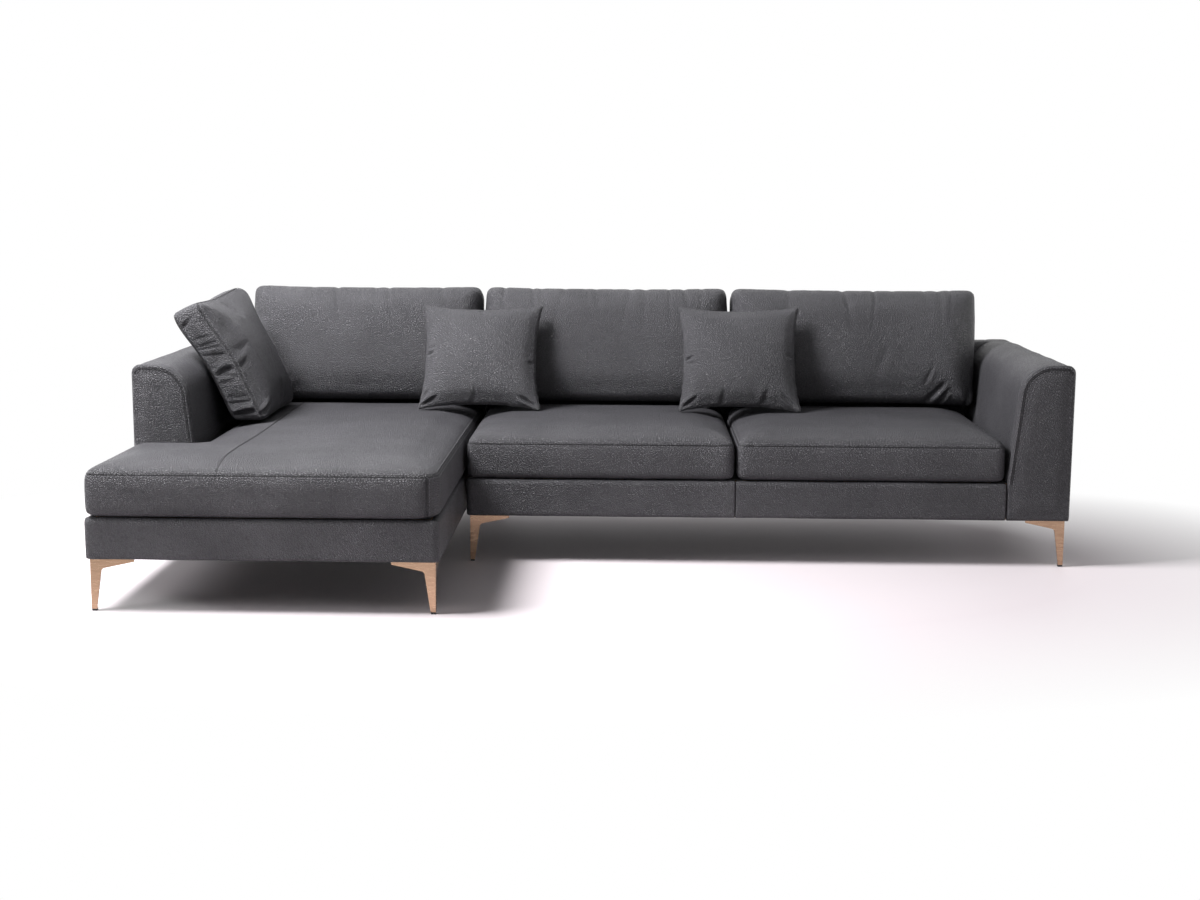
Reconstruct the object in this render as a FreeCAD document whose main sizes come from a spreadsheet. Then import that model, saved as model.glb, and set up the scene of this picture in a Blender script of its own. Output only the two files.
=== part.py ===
import FreeCAD, Part
import math
import os
import re
import Sketcher

# Sectional sofa with chaise, charcoal leather on slim metal corner legs.
# Two modules hook together: the chaise with the left arm, the two-seat sofa with the right arm.
# Millimetres, +Z up, the front faces -Y and the chaise is on the -X side.
# The origin is on the floor under the middle of the whole sofa.

SIZES = {
    # whole plan
    "overall_width": 2900,
    "chaise_width": 990,
    "chaise_reach": 680,
    "sofa_depth": 949,
    "cushion_overhang": 5,
    # heights
    "leg_height": 148,
    "apron_depth": 120,
    "arm_height": 641,
    # padded aprons and covers
    "apron_thickness": 26,
    "apron_round": 20,
    "apron_hem": 5,
    "cover_skin": 4,
    "cover_ease": 0.3,
    # arms
    "arm_setback": 500,
    "arm_width": 200,
    "arm_slope": 6,
    "arm_inner_round": 100,
    "arm_outer_round": 26,
    "arm_padding": 14,
    "panel_thickness": 18,
    "panel_bevel": 5,
    # back
    "back_thickness": 200,
    "back_lean": 14,
    "back_front_round": 34,
    "back_rear_round": 24,
    # timber frame
    "rail_thickness": 28,
    "board_thickness": 18,
    "cross_rail_drop": 20,
    "block_size": 70,
    "window_width": 170,
    "window_margin": 70,
    "back_post_depth": 45,
    # deck
    "strap_width": 60,
    "strap_thickness": 2.5,
    "strap_pitch": 105,
    "strap_bearing": 22,
    "cloth_thickness": 1.5,
    "dust_cover_thickness": 1,
    # hooks that join the modules
    "hook_sheet": 1.5,
    "hook_play": 0.3,
    "hook_width": 50,
    "hook_length": 60,
    "tongue_length": 30,
    # corner legs
    "leg_inset": 12,
    "leg_sheet": 5,
    "leg_blade": 32,
    "leg_foot": 15,
    "wing_length": 124,
    "wing_root": 27,
    "wing_tip": 7,
    "leg_crook": 12,
    "leg_edge": 1.5,
    "flange_reach": 66,
    "flange_corner": 14,
    "flange_thickness": 3,
    "glide_height": 6,
    "glide_size": 13,
    "bolt_radius": 3,
    "bolt_head_radius": 6.5,
    "bolt_head": 4,
    "bolt_length": 40,
    "bolt_clearance": 0.3,
    "bolt_edge": 12,
    # seat cushions
    "seat_boxing": 112,
    "seat_crown": 50,
    "seat_crown_run": 112,
    "seat_tuck": 12,
    "seat_seam": 22,
    "seat_corner": 26,
    "seat_inner_corner": 8,
    "seam_dip": 3,
    "chaise_corner": 58,
    "seat_gap": 3,
    "rest_gap": 0.3,
    # back cushions
    "back_cushion_height": 390,
    "back_cushion_depth": 235,
    "back_cushion_crown": 62,
    "back_cushion_corner": 62,
    "back_cushion_foot_corner": 43,
    "back_cushion_gap": 8,
    "back_cushion_run": 96,
    "back_cushion_foot_run": 67,
    "back_cushion_head_run": 144,
    "back_cushion_head_dip": 14,
    "back_cushion_rear": 25,
    "back_cushion_rear_run": 40,
    "back_cushion_rear_foot_run": 24,
    "back_cushion_rear_head_run": 60,
    # side cushion on the left arm
    "side_cushion_length": 455,
    "side_cushion_height": 388,
    "side_cushion_boxing": 86,
    "side_cushion_crown": 58,
    "side_cushion_lean": 25,
    "side_cushion_corner": 34,
    "side_cushion_run": 72,
    "side_cushion_rear": 16,
    "side_cushion_rear_run": 32,
    # throw pillows
    "pillow_width": 412,
    "pillow_height": 384,
    "pillow_depth": 130,
    "pillow_waist": 20,
    "pillow_lean": 28,
    "pillow_rim": 5,
    "pillow_ear": 8,
    "pillow_crown_run": 0.8,
    "pillow_left_shift": 12,
    "pillow_right_shift": 35,
}

# Places that follow from the sizes
PLACES = {
    "whole_depth": "chaise_reach + sofa_depth + cushion_overhang",
    "left_side": "0 - overall_width / 2",
    "right_side": "overall_width / 2",
    "rear_side": "whole_depth / 2",
    "chaise_front": "cushion_overhang - whole_depth / 2",
    "sofa_front": "rear_side - sofa_depth",
    "left_arm_front": "chaise_front + arm_setback",
    "chaise_right": "left_side + chaise_width",
    "module_gap": "4 * hook_sheet + 3 * hook_play",
    "sofa_left": "chaise_right + module_gap",
    "deck_height": "leg_height + apron_depth",
    "back_front": "rear_side - back_thickness",
    "left_arm_inner": "left_side + arm_width",
    "right_arm_inner": "right_side - arm_width",
    "rail_top": "deck_height - cloth_thickness - strap_thickness",
    "rail_bottom": "leg_height + dust_cover_thickness",
    "rear_rail_back": "rear_side - apron_thickness",
    "bolt_line": "apron_thickness + rail_thickness + bolt_edge - leg_inset",
    "seat_middle": "(sofa_left + right_arm_inner) / 2",
    "leg_drop": "leg_height - glide_height",
    "arm_top_run": "(arm_height - deck_height) * tan(arm_slope * 1 deg)",
    "pillow_left_place": "chaise_right + pillow_left_shift",
    "pillow_right_place": "seat_middle + pillow_right_shift",
}

os.makedirs("parts", exist_ok=True)
doc = FreeCAD.newDocument("sectional_sofa")
sheet = doc.addObject("Spreadsheet::Sheet", "Sizes")
for row, (size_name, size_value) in enumerate(SIZES.items(), start=1):
    sheet.set(f"A{row}", size_name)
    sheet.set(f"B{row}", str(size_value))
    sheet.setAlias(f"B{row}", size_name)
doc.recompute()

nodes = {}


def formula(text):
    """Write a formula of named sizes and places as an expression on the sheet."""
    def swap(match):
        word = match.group(0)
        if word in PLACES:
            return "(" + formula(PLACES[word]) + ")"
        return f"Sizes.{word}" if word in SIZES else word
    return re.sub(r"[a-z_]+", swap, text)


def measures(label, **texts):
    """Reckon formulas on the sheet and give them back as numbers."""
    holder = doc.addObject("App::FeaturePython", label + "_measures")
    for name, text in texts.items():
        holder.addProperty("App::PropertyFloat", name, "Measures")
        holder.setExpression(name, formula(text))
    doc.recompute()
    return {name: getattr(holder, name) for name in texts}


def keep(name, piece):
    """Register a finished piece under the name of its node."""
    piece.Label = name
    nodes[name] = piece
    return piece


def box(name, start, span):
    """A box from its lowest corner and its three lengths, each a formula."""
    piece = doc.addObject("Part::Box", name)
    for side, text in zip(("Length", "Width", "Height"), span):
        piece.setExpression(side, formula(text))
    for axis, text in zip("xyz", start):
        piece.setExpression(f"Placement.Base.{axis}", formula(text))
    return piece


def cylinder(name, radius, height, place):
    """An upright cylinder from its radius, height and foot."""
    piece = doc.addObject("Part::Cylinder", name)
    piece.setExpression("Radius", formula(radius))
    piece.setExpression("Height", formula(height))
    for axis, text in zip("xyz", place):
        piece.setExpression(f"Placement.Base.{axis}", formula(text))
    return piece


def cut(name, base, tool):
    """Take one shape away from another."""
    piece = doc.addObject("Part::Cut", name)
    piece.Base = base
    piece.Tool = tool
    return piece


def group(name, pieces):
    """Separate solids that share one node."""
    piece = doc.addObject("Part::Compound", name)
    piece.Links = pieces
    return piece


def fuse(name, pieces):
    """Pieces glued into one solid."""
    piece = doc.addObject("Part::MultiFuse", name)
    piece.Shapes = pieces
    piece.Refine = True
    return piece


def origin_plane(body, role):
    """One of a body's own origin planes."""
    return next(p for p in body.Origin.OriginFeatures if p.Role == role)


def sketch_on(body, name, role):
    """An empty sketch on an origin plane of its body."""
    sketch = body.newObject("Sketcher::SketchObject", name)
    sketch.AttachmentSupport = [(origin_plane(body, role), "")]
    sketch.MapMode = "FlatFace"
    return sketch


def polygon(body, name, role, corners):
    """A closed outline whose corners are pinned by formulas."""
    sketch = sketch_on(body, name, role)
    count = len(corners)
    turns = [2 * math.pi * k / count for k in range(count)]
    ring = [FreeCAD.Vector(100 * math.cos(turn), 100 * math.sin(turn), 0) for turn in turns]
    for k in range(count):
        sketch.addGeometry(Part.LineSegment(ring[k], ring[(k + 1) % count]), False)
    for k in range(count):
        sketch.addConstraint(Sketcher.Constraint("Coincident", k, 2, (k + 1) % count, 1))
    for k, (across, up) in enumerate(corners):
        for kind, text, start in (("DistanceX", across, ring[k].x), ("DistanceY", up, ring[k].y)):
            index = sketch.addConstraint(Sketcher.Constraint(kind, -1, 1, k, 1, start))
            sketch.setExpression(f"Constraints[{index}]", formula(text))
    return sketch


def pad(body, name, sketch, length, reverse=False):
    """Push a sketch out into a solid."""
    feature = body.newObject("PartDesign::Pad", name)
    feature.Profile = sketch
    feature.setExpression("Length", formula(length))
    feature.Reversed = reverse
    return feature


def round_edges(body, name, base, chosen, radius):
    """Round the edges of a feature that a test picks out."""
    doc.recompute()
    picked = [f"Edge{k}" for k, edge in enumerate(base.Shape.Edges, start=1) if chosen(edge)]
    feature = body.newObject("PartDesign::Fillet", name)
    feature.Base = (base, picked)
    feature.setExpression("Radius", formula(radius))
    return feature


def bevel_edges(body, name, base, chosen, size):
    """Bevel the edges of a feature that a test picks out."""
    doc.recompute()
    picked = [f"Edge{k}" for k, edge in enumerate(base.Shape.Edges, start=1) if chosen(edge)]
    feature = body.newObject("PartDesign::Chamfer", name)
    feature.Base = (base, picked)
    feature.setExpression("Size", formula(size))
    return feature


def lies_along(edge, axis):
    """Whether a straight edge runs along an axis, 0 for X, 1 for Y, 2 for Z."""
    if edge.Curve.TypeId != "Part::GeomLine":
        return False
    way = edge.Vertexes[-1].Point - edge.Vertexes[0].Point
    return abs(way[axis]) > 0.999 * way.Length


# Aprons: foam-backed leather on the base, round at the top and at the outer corners
def apron(name, start, span, run, rounds):
    """A padded apron; run is the axis it follows, rounds picks its outer upright corners."""
    body = doc.addObject("PartDesign::Body", name)
    length, width, height = span
    outline = polygon(body, name + "_plan", "XY_Plane",
                      [("0", "0"), (length, "0"), (length, width), ("0", width)])
    last = pad(body, name + "_pad", outline, height)
    doc.recompute()
    limits = last.Shape.BoundBox
    if rounds:
        spots = [FreeCAD.Vector(limits.XMax * right, limits.YMax * back, 0) for right, back in rounds]
        last = round_edges(body, name + "_corners", last, lambda edge: lies_along(edge, 2) and any(
            math.hypot(edge.CenterOfMass.x - spot.x, edge.CenterOfMass.y - spot.y) < 1 for spot in spots),
            "apron_round")
    face_at = {"front": ("y", 0.0), "left": ("x", 0.0), "right": ("x", limits.XMax)}[run]

    def outer(edge, level):
        spot = edge.CenterOfMass
        away = getattr(spot, face_at[0]) - face_at[1]
        long_side = lies_along(edge, 0) if run == "front" else lies_along(edge, 1)
        return long_side and abs(away) < 1 and abs(spot.z - level) < 1

    last = round_edges(body, name + "_top", last, lambda edge: outer(edge, limits.ZMax), "apron_round * 0.8")
    bevel_edges(body, name + "_hem", last, lambda edge: outer(edge, 0), "apron_hem")
    for axis, text in zip("xyz", start):
        body.setExpression(f"Placement.Base.{axis}", formula(text))
    return keep(name, body)


side_apron_front = "chaise_front + apron_thickness"
apron("chaise_front_apron", ("left_side", "chaise_front", "leg_height"),
      ("chaise_width", "apron_thickness", "apron_depth"), "front", [(0, 0), (1, 0)])
apron("chaise_left_apron", ("left_side", side_apron_front, "leg_height"),
      ("apron_thickness", "arm_setback + panel_thickness - apron_thickness", "apron_depth"), "left", [])
apron("chaise_right_apron", ("chaise_right - apron_thickness", side_apron_front, "leg_height"),
      ("apron_thickness", f"rear_rail_back - ({side_apron_front})", "apron_depth"), "right", [])
apron("sofa_front_apron_left", ("sofa_left", "sofa_front", "leg_height"),
      ("seat_middle - sofa_left", "apron_thickness", "apron_depth"), "front", [(0, 0)])
apron("sofa_front_apron_right", ("seat_middle", "sofa_front", "leg_height"),
      ("right_arm_inner - seat_middle", "apron_thickness", "apron_depth"), "front", [])

# Each module's bounds, as formulas: left, right, front, rear and how its straps run
MODULES = {
    "chaise": ("left_side", "chaise_right", "chaise_front", "x"),
    "sofa": ("sofa_left", "right_side", "sofa_front", "y"),
}
LEG_CORNERS = (("front_left", 0, 0), ("front_right", 1, 0), ("rear_right", 1, 1), ("rear_left", 0, 1))


def quarter_turn(right, back):
    """The turn that brings a piece for the front left corner to another corner."""
    turns = {(0, 0): 0, (1, 0): 90, (1, 1): 180, (0, 1): 270}
    return FreeCAD.Rotation(FreeCAD.Vector(0, 0, 1), turns[(right, back)])


def corner_place(module, right, back):
    """Where a leg's outer corner stands under its module."""
    left, right_edge, front, _ = MODULES[module]
    across = f"({right_edge}) - leg_inset" if right else f"({left}) + leg_inset"
    along = "rear_side - leg_inset" if back else f"({front}) + leg_inset"
    return across, along


# Bolts: one to a leg, up through the flange into the corner block
def bolt_place(module, right, back):
    """The middle of a leg's bolt."""
    across, along = corner_place(module, right, back)
    return f"{across} {'-' if right else '+'} bolt_line", f"{along} {'-' if back else '+'} bolt_line"


# Timber base frame, webbing and cloths of each module
def base_frame(module):
    """Rails, cross rails, corner blocks, webbing, deck cloth and dust cover of one module."""
    left, right, front, straps_run = MODULES[module]
    inner_left = f"({left}) + apron_thickness"
    inner_right = f"({right}) - apron_thickness"
    inner_front = f"({front}) + apron_thickness"
    inner_width = f"(({inner_right}) - ({inner_left}))"
    inner_depth = f"(rear_rail_back - ({inner_front}))"
    rail_height = "rail_top - rail_bottom"
    side_front = f"{inner_front} + rail_thickness"
    side_depth = f"{inner_depth} - 2 * rail_thickness"
    rails = {
        "front_rail": ((inner_left, inner_front), (inner_width, "rail_thickness")),
        "rear_rail": ((inner_left, "rear_rail_back - rail_thickness"), (inner_width, "rail_thickness")),
        "left_rail": ((inner_left, side_front), ("rail_thickness", side_depth)),
        "right_rail": ((f"{inner_right} - rail_thickness", side_front), ("rail_thickness", side_depth)),
    }
    for name, (start, span) in rails.items():
        keep(f"{module}_{name}", box(f"{module}_{name}", (*start, "rail_bottom"), (*span, rail_height)))
    inside_width = f"({inner_width} - 2 * rail_thickness)"
    inside_depth = f"({side_depth})"
    for k in (1, 2):
        if straps_run == "x":
            start = (f"{inner_left} + rail_thickness",
                     f"{side_front} + {inside_depth} * {k} / 3 - rail_thickness / 2")
            span = (inside_width, "rail_thickness")
        else:
            start = (f"{inner_left} + rail_thickness + {inside_width} * {k} / 3 - rail_thickness / 2",
                     side_front)
            span = ("rail_thickness", inside_depth)
        keep(f"{module}_cross_rail_{k}", box(f"{module}_cross_rail_{k}", (*start, "rail_bottom"),
                                             (*span, f"{rail_height} - cross_rail_drop")))
    # corner blocks: triangular, glued where two rails meet, bored for the leg bolts
    blocks = []
    for corner, right_hand, back in LEG_CORNERS:
        body = doc.addObject("PartDesign::Body", f"{module}_block_{corner}")
        outline = polygon(body, f"{module}_block_{corner}_plan", "XY_Plane",
                          [("0", "0"), ("block_size", "0"), ("0", "block_size")])
        pad(body, f"{module}_block_{corner}_pad", outline, f"{rail_height} - cross_rail_drop")
        across = f"{inner_right} - rail_thickness" if right_hand else f"{inner_left} + rail_thickness"
        along = "rear_rail_back - rail_thickness" if back else side_front
        for axis, text in zip("xyz", (across, along, "rail_bottom")):
            body.setExpression(f"Placement.Base.{axis}", formula(text))
        body.Placement.Rotation = quarter_turn(right_hand, back)
        bore = cylinder(f"{module}_bore_{corner}", "bolt_radius + bolt_clearance", "bolt_length",
                        (*bolt_place(module, right_hand, back), "leg_height"))
        blocks.append(cut(f"{module}_bored_{corner}", body, bore))
    keep(f"{module}_corner_blocks", group(f"{module}_corner_blocks", blocks))
    # elastic webbing, stapled on the inner part of the rails' top edge
    sizes = measures(module + "_webbing", across=inside_width, along=inside_depth, pitch="strap_pitch")
    open_length = sizes["along"] if straps_run == "x" else sizes["across"]
    count = int(open_length // sizes["pitch"])
    straps = []
    for k in range(count):
        shift = f"* {k + 0.5} / {count} - strap_width / 2"
        if straps_run == "x":
            start = (f"{inner_left} + rail_thickness - strap_bearing",
                     f"{side_front} + {inside_depth} {shift}")
            span = (f"{inside_width} + 2 * strap_bearing", "strap_width")
        else:
            start = (f"{inner_left} + rail_thickness + {inside_width} {shift}",
                     f"{side_front} - strap_bearing")
            span = ("strap_width", f"{inside_depth} + 2 * strap_bearing")
        straps.append(box(f"{module}_strap_{k}", (*start, "rail_top"), (*span, "strap_thickness")))
    keep(f"{module}_webbing", group(f"{module}_webbing", straps))
    deck_start = (inner_left, inner_front, "rail_top + strap_thickness")
    deck_span = (inner_width, inner_depth, "cloth_thickness")
    keep(f"{module}_deck_cloth", box(f"{module}_deck_cloth", deck_start, deck_span))
    cloth = box(f"{module}_dust_cloth", (inner_left, inner_front, "leg_height"),
                (inner_width, inner_depth, "dust_cover_thickness"))
    openings = []
    for corner, right_hand, back in LEG_CORNERS:
        across, along = corner_place(module, right_hand, back)
        start = (across + (" - flange_reach" if right_hand else ""),
                 along + (" - flange_reach" if back else ""))
        openings.append(box(f"{module}_opening_{corner}", (*start, "leg_height"),
                            ("flange_reach", "flange_reach", "dust_cover_thickness")))
    keep(f"{module}_dust_cover", cut(f"{module}_dust_cover", cloth, group(f"{module}_openings", openings)))


for module_name in MODULES:
    base_frame(module_name)


# Corner legs: two sheet blades in an L, each a slim seven with a wing along the base
def blade_outline():
    """Corners of one blade: top corner, wing, crook, foot."""
    return [("0", "0"), ("wing_length", "0"), ("wing_length", "0 - wing_tip"), ("leg_blade", "0 - wing_root"),
            ("leg_foot", "0 - leg_drop"), ("0", "0 - leg_drop")]


def corner_leg(name, module, right, back):
    """One leg, turned about the upright so that its blades follow the module's two sides."""
    body = doc.addObject("PartDesign::Body", name)
    front = polygon(body, name + "_front_blade", "XZ_Plane", blade_outline())
    front_pad = pad(body, name + "_front_pad", front, "leg_sheet", reverse=True)
    side = polygon(body, name + "_side_blade", "YZ_Plane", blade_outline())
    side_pad = pad(body, name + "_side_pad", side, "leg_sheet")
    flange = polygon(body, name + "_flange", "XY_Plane",
                     [("0", "0"), ("flange_reach", "0"), ("flange_reach", "flange_reach - flange_corner"),
                      ("flange_reach - flange_corner", "flange_reach"), ("0", "flange_reach")])
    flange_pad = pad(body, name + "_flange_pad", flange, "flange_thickness", reverse=True)
    foot = polygon(body, name + "_foot", "XY_Plane",
                   [("0", "0"), ("leg_foot", "0"), ("leg_foot", "leg_foot"), ("0", "leg_foot")])
    foot.setExpression("AttachmentOffset.Base.z", formula("0 - leg_drop"))
    foot_pad = pad(body, name + "_foot_pad", foot, "flange_thickness")
    hole = sketch_on(body, name + "_hole", "XY_Plane")
    hole.addGeometry(Part.Circle(FreeCAD.Vector(50, 50, 0), FreeCAD.Vector(0, 0, 1), 3), False)
    for kind in ("DistanceX", "DistanceY"):
        index = hole.addConstraint(Sketcher.Constraint(kind, -1, 1, 0, 3, 50.0))
        hole.setExpression(f"Constraints[{index}]", formula("bolt_line"))
    index = hole.addConstraint(Sketcher.Constraint("Radius", 0, 3.0))
    hole.setExpression(f"Constraints[{index}]", formula("bolt_radius + bolt_clearance"))
    doc.recompute()
    bore = body.newObject("PartDesign::Pocket", name + "_bore")
    bore.Profile = hole
    bore.Type = "Length"
    bore.setExpression("Length", formula("flange_thickness * 2"))
    doc.recompute()
    if bore.Shape.Volume >= foot_pad.Shape.Volume - 1:
        raise ValueError(f"{name}: the bolt hole cuts nothing")
    drop = measures(name, root="wing_root", blade="leg_blade")

    def in_crook(edge):
        """Whether an edge lies where a wing meets its blade."""
        spot = edge.CenterOfMass
        at_blade = min(abs(spot.x - drop["blade"]), abs(spot.y - drop["blade"])) < 0.5
        return edge.Curve.TypeId == "Part::GeomLine" and at_blade and abs(spot.z + drop["root"]) < 0.5

    crooks = round_edges(body, name + "_crooks", bore, in_crook, "leg_crook")
    round_edges(body, name + "_corner", crooks, lambda edge: lies_along(edge, 2) and (
        abs(edge.CenterOfMass.x) < 0.1 and abs(edge.CenterOfMass.y) < 0.1), "leg_edge")
    across, along = corner_place(module, right, back)
    body.Placement.Rotation = quarter_turn(right, back)
    for axis, text in zip("xyz", (across, along, "leg_height")):
        body.setExpression(f"Placement.Base.{axis}", formula(text))
    return keep(name, body)


glides = []
bolts = []
for module_name in MODULES:
    for corner, right_hand, back in LEG_CORNERS:
        corner_leg(f"{module_name}_leg_{corner}", module_name, right_hand, back)
        across, along = corner_place(module_name, right_hand, back)
        shift_x = f"{across} {'-' if right_hand else '+'} leg_foot / 2 - glide_size / 2"
        shift_y = f"{along} {'-' if back else '+'} leg_foot / 2 - glide_size / 2"
        glides.append(box(f"glide_{module_name}_{corner}", (shift_x, shift_y, "0"),
                          ("glide_size", "glide_size", "glide_height")))
        spot_x, spot_y = bolt_place(module_name, right_hand, back)
        shank = cylinder(f"shank_{module_name}_{corner}", "bolt_radius", "bolt_length + flange_thickness",
                         (spot_x, spot_y, "leg_height - flange_thickness"))
        head = doc.addObject("Part::Prism", f"head_{module_name}_{corner}")
        head.Polygon = 6
        head.setExpression("Circumradius", formula("bolt_head_radius"))
        head.setExpression("Height", formula("bolt_head"))
        for axis, text in zip("xyz", (spot_x, spot_y, "leg_height - flange_thickness - bolt_head")):
            head.setExpression(f"Placement.Base.{axis}", formula(text))
        bolts.append(fuse(f"bolt_{module_name}_{corner}", [shank, head]))
keep("leg_glides", group("leg_glides", glides))
keep("leg_bolts", group("leg_bolts", bolts))


# Hooks: bent plates screwed to the facing sides of the two modules
def hook_pair():
    """Two downward tongues on the chaise drop behind two upward straps on the sofa."""
    step = "(hook_sheet + hook_play)"
    hook = [("0", "0"), ("hook_sheet", "0"), ("hook_sheet", "hook_length - hook_sheet"),
            (f"2 * {step}", "hook_length - hook_sheet"), (f"2 * {step}", "hook_length - tongue_length"),
            (f"2 * {step} + hook_sheet", "hook_length - tongue_length"),
            (f"2 * {step} + hook_sheet", "hook_length"), ("0", "hook_length")]
    strap_top = f"hook_length - {step}"
    sill = f"hook_length - tongue_length - {step}"
    receiver = [(step, sill), (f"3 * {step} + hook_sheet", sill), (f"3 * {step} + hook_sheet", "hook_length"),
                (f"3 * {step}", "hook_length"), (f"3 * {step}", f"{sill} + hook_sheet"),
                (f"{step} + hook_sheet", f"{sill} + hook_sheet"), (f"{step} + hook_sheet", strap_top),
                (step, strap_top)]
    for name, outline in (("hook_plates", hook), ("hook_receivers", receiver)):
        made = []
        for k in (1, 3):
            body = doc.addObject("PartDesign::Body", f"{name}_{k}")
            sketch = polygon(body, f"{name}_{k}_profile", "XZ_Plane", outline)
            pad(body, f"{name}_{k}_pad", sketch, "hook_width", reverse=True)
            along = f"sofa_front + (rear_rail_back - sofa_front) * {k} / 4 - hook_width / 2"
            for axis, text in zip("xyz", ("chaise_right", along, "rail_bottom + cross_rail_drop")):
                body.setExpression(f"Placement.Base.{axis}", formula(text))
            made.append(body)
        keep(name, group(name, made))


hook_pair()


# Arms: a section that slopes inside, rounds over the top and drops a skirt outside the rails
def arm_prism(name, inset, front, rear, left_hand, kind):
    """The arm's section, drawn in by inset, run from front to rear; kind is core, skirt or slab."""
    slope = "tan(arm_slope * 1 deg)"
    lean = f"({inset}) / cos(arm_slope * 1 deg)"
    top = f"arm_height - ({inset})"
    foot = "deck_height"
    inner_foot = f"arm_width - ({lean})"
    inner_top = f"{inner_foot} - ({top} - ({foot})) * {slope}"
    corners = [(f"0 + ({inset})", foot), (inner_foot, foot), (inner_top, top), (f"0 + ({inset})", top)]
    if kind == "skirt":
        corners = [("0", "leg_height"), ("apron_thickness", "leg_height"), ("apron_thickness", foot),
                   (inner_foot, foot), (inner_top, top), ("0", top)]
    if kind == "slab":
        corners = [("0", "leg_height"), ("arm_width", "leg_height"), (inner_foot, foot),
                   (inner_top, top), ("0", top)]
    if not left_hand:
        corners = [(f"0 - ({across})", up) for across, up in reversed(corners)]
    body = doc.addObject("PartDesign::Body", name)
    outline = polygon(body, name + "_section", "XZ_Plane", corners)
    last = pad(body, name + "_run", outline, f"({rear}) - ({front})", reverse=True)
    sizes = measures(name, up=top, inner=inner_top)
    way = 1 if left_hand else -1
    last = round_edges(body, name + "_inner_round", last, lambda edge: lies_along(edge, 1) and (
        abs(edge.CenterOfMass.z - sizes["up"]) < 0.5) and abs(edge.CenterOfMass.x - way * sizes["inner"]) < 1,
        f"arm_inner_round - ({inset})")
    round_edges(body, name + "_outer_round", last, lambda edge: lies_along(edge, 1) and (
        abs(edge.CenterOfMass.z - sizes["up"]) < 0.5) and abs(edge.CenterOfMass.x) < 40,
        f"arm_outer_round - ({inset})")
    body.setExpression("Placement.Base.x", formula("left_side" if left_hand else "right_side"))
    body.setExpression("Placement.Base.y", formula(front))
    return body


def arm(side, front):
    """Frame, padding, cover and front panel of one arm."""
    left_hand = side == "left"
    name = side + "_arm"
    body_front = f"({front}) + panel_thickness"
    outside = arm_prism(name + "_outside", "0", body_front, "rear_side", left_hand, "skirt")
    inner_front = f"{body_front} + cover_skin"
    inner_rear = "rear_side - cover_skin"
    hollow = arm_prism(name + "_hollow", "cover_skin", inner_front, inner_rear, left_hand, "core")
    keep(name + "_cover", cut(name + "_cover", outside, hollow))
    padding = arm_prism(name + "_stuffing", "cover_skin + cover_ease", f"{inner_front} + cover_ease",
                        f"{inner_rear} - cover_ease", left_hand, "core")
    # timber box: two boards, a top rail and end posts, with hand holes cut in the boards
    wall = "(cover_skin + arm_padding)"
    box_width = f"(arm_width - 2 * {wall} - arm_top_run)"
    box_left = f"left_side + {wall}" if left_hand else f"right_side - {wall} - {box_width}"
    box_front = f"({body_front} + {wall})"
    box_depth = f"(rear_side - {wall} - {box_front})"
    box_height = f"(arm_height - {wall} - arm_outer_round - deck_height)"
    block = box(name + "_block", (box_left, box_front, "deck_height"), (box_width, box_depth, box_height))
    room = box(name + "_room",
               (f"{box_left} + board_thickness", f"{box_front} + board_thickness", "deck_height"),
               (f"{box_width} - 2 * board_thickness", f"{box_depth} - 2 * board_thickness",
                f"{box_height} - board_thickness"))
    sizes = measures(name, depth=box_depth, pitch="window_width + window_margin")
    count = int(sizes["depth"] // sizes["pitch"])
    windows = []
    for k in range(count):
        along = f"{box_front} + {box_depth} * {k + 0.5} / {count} - window_width / 2"
        windows.append(box(f"{name}_window_{k}", (f"{box_left} - 1", along, "deck_height + window_margin"),
                           (f"{box_width} + 2", "window_width", f"{box_height} - 2 * window_margin")))
    shell = cut(name + "_shell", block, room)
    keep(name + "_frame", cut(name + "_frame", shell, group(name + "_windows", windows)))
    keep(name + "_padding", cut(name + "_padding", padding, block))
    # front panel with the arm's own outline, to the hem on the sofa, to the deck on the chaise
    kind = "core" if left_hand else "slab"
    panel = arm_prism(name + "_front_panel", "0", front, body_front, left_hand, kind)
    bevel_edges(panel, name + "_panel_edge", panel.Tip, lambda edge: edge.BoundBox.YMax < 0.1, "panel_bevel")
    keep(name + "_front_panel", panel)


arm("left", "left_arm_front")
arm("right", "sofa_front")


# Back: a section that leans back inside and stands plumb behind
def back_prism(name, inset, left, right, skirt):
    """The back's section, drawn in by inset, run from left to right."""
    lean = f"({inset}) / cos(back_lean * 1 deg)"
    top = f"arm_height - ({inset})"
    foot_front = f"back_front + ({lean})"
    top_front = f"{foot_front} + ({top} - (deck_height)) * tan(back_lean * 1 deg)"
    rear = f"rear_side - ({inset})"
    corners = [(foot_front, "deck_height"), (rear, "deck_height"), (rear, top), (top_front, top)]
    if skirt:
        corners = [(foot_front, "deck_height"), ("rear_rail_back", "deck_height"),
                   ("rear_rail_back", "leg_height"), (rear, "leg_height"), (rear, top), (top_front, top)]
    body = doc.addObject("PartDesign::Body", name)
    outline = polygon(body, name + "_section", "YZ_Plane", corners)
    last = pad(body, name + "_run", outline, f"({right}) - ({left})")
    sizes = measures(name, up=top, fore=top_front, aft=rear)
    for tag, spot, radius in (("front", "fore", "back_front_round"), ("rear", "aft", "back_rear_round")):
        last = round_edges(body, f"{name}_{tag}_round", last, lambda edge: lies_along(edge, 0) and (
            abs(edge.CenterOfMass.z - sizes["up"]) < 0.5) and abs(edge.CenterOfMass.y - sizes[spot]) < 1,
            f"{radius} - ({inset})")
    body.setExpression("Placement.Base.x", formula(left))
    return body


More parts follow.
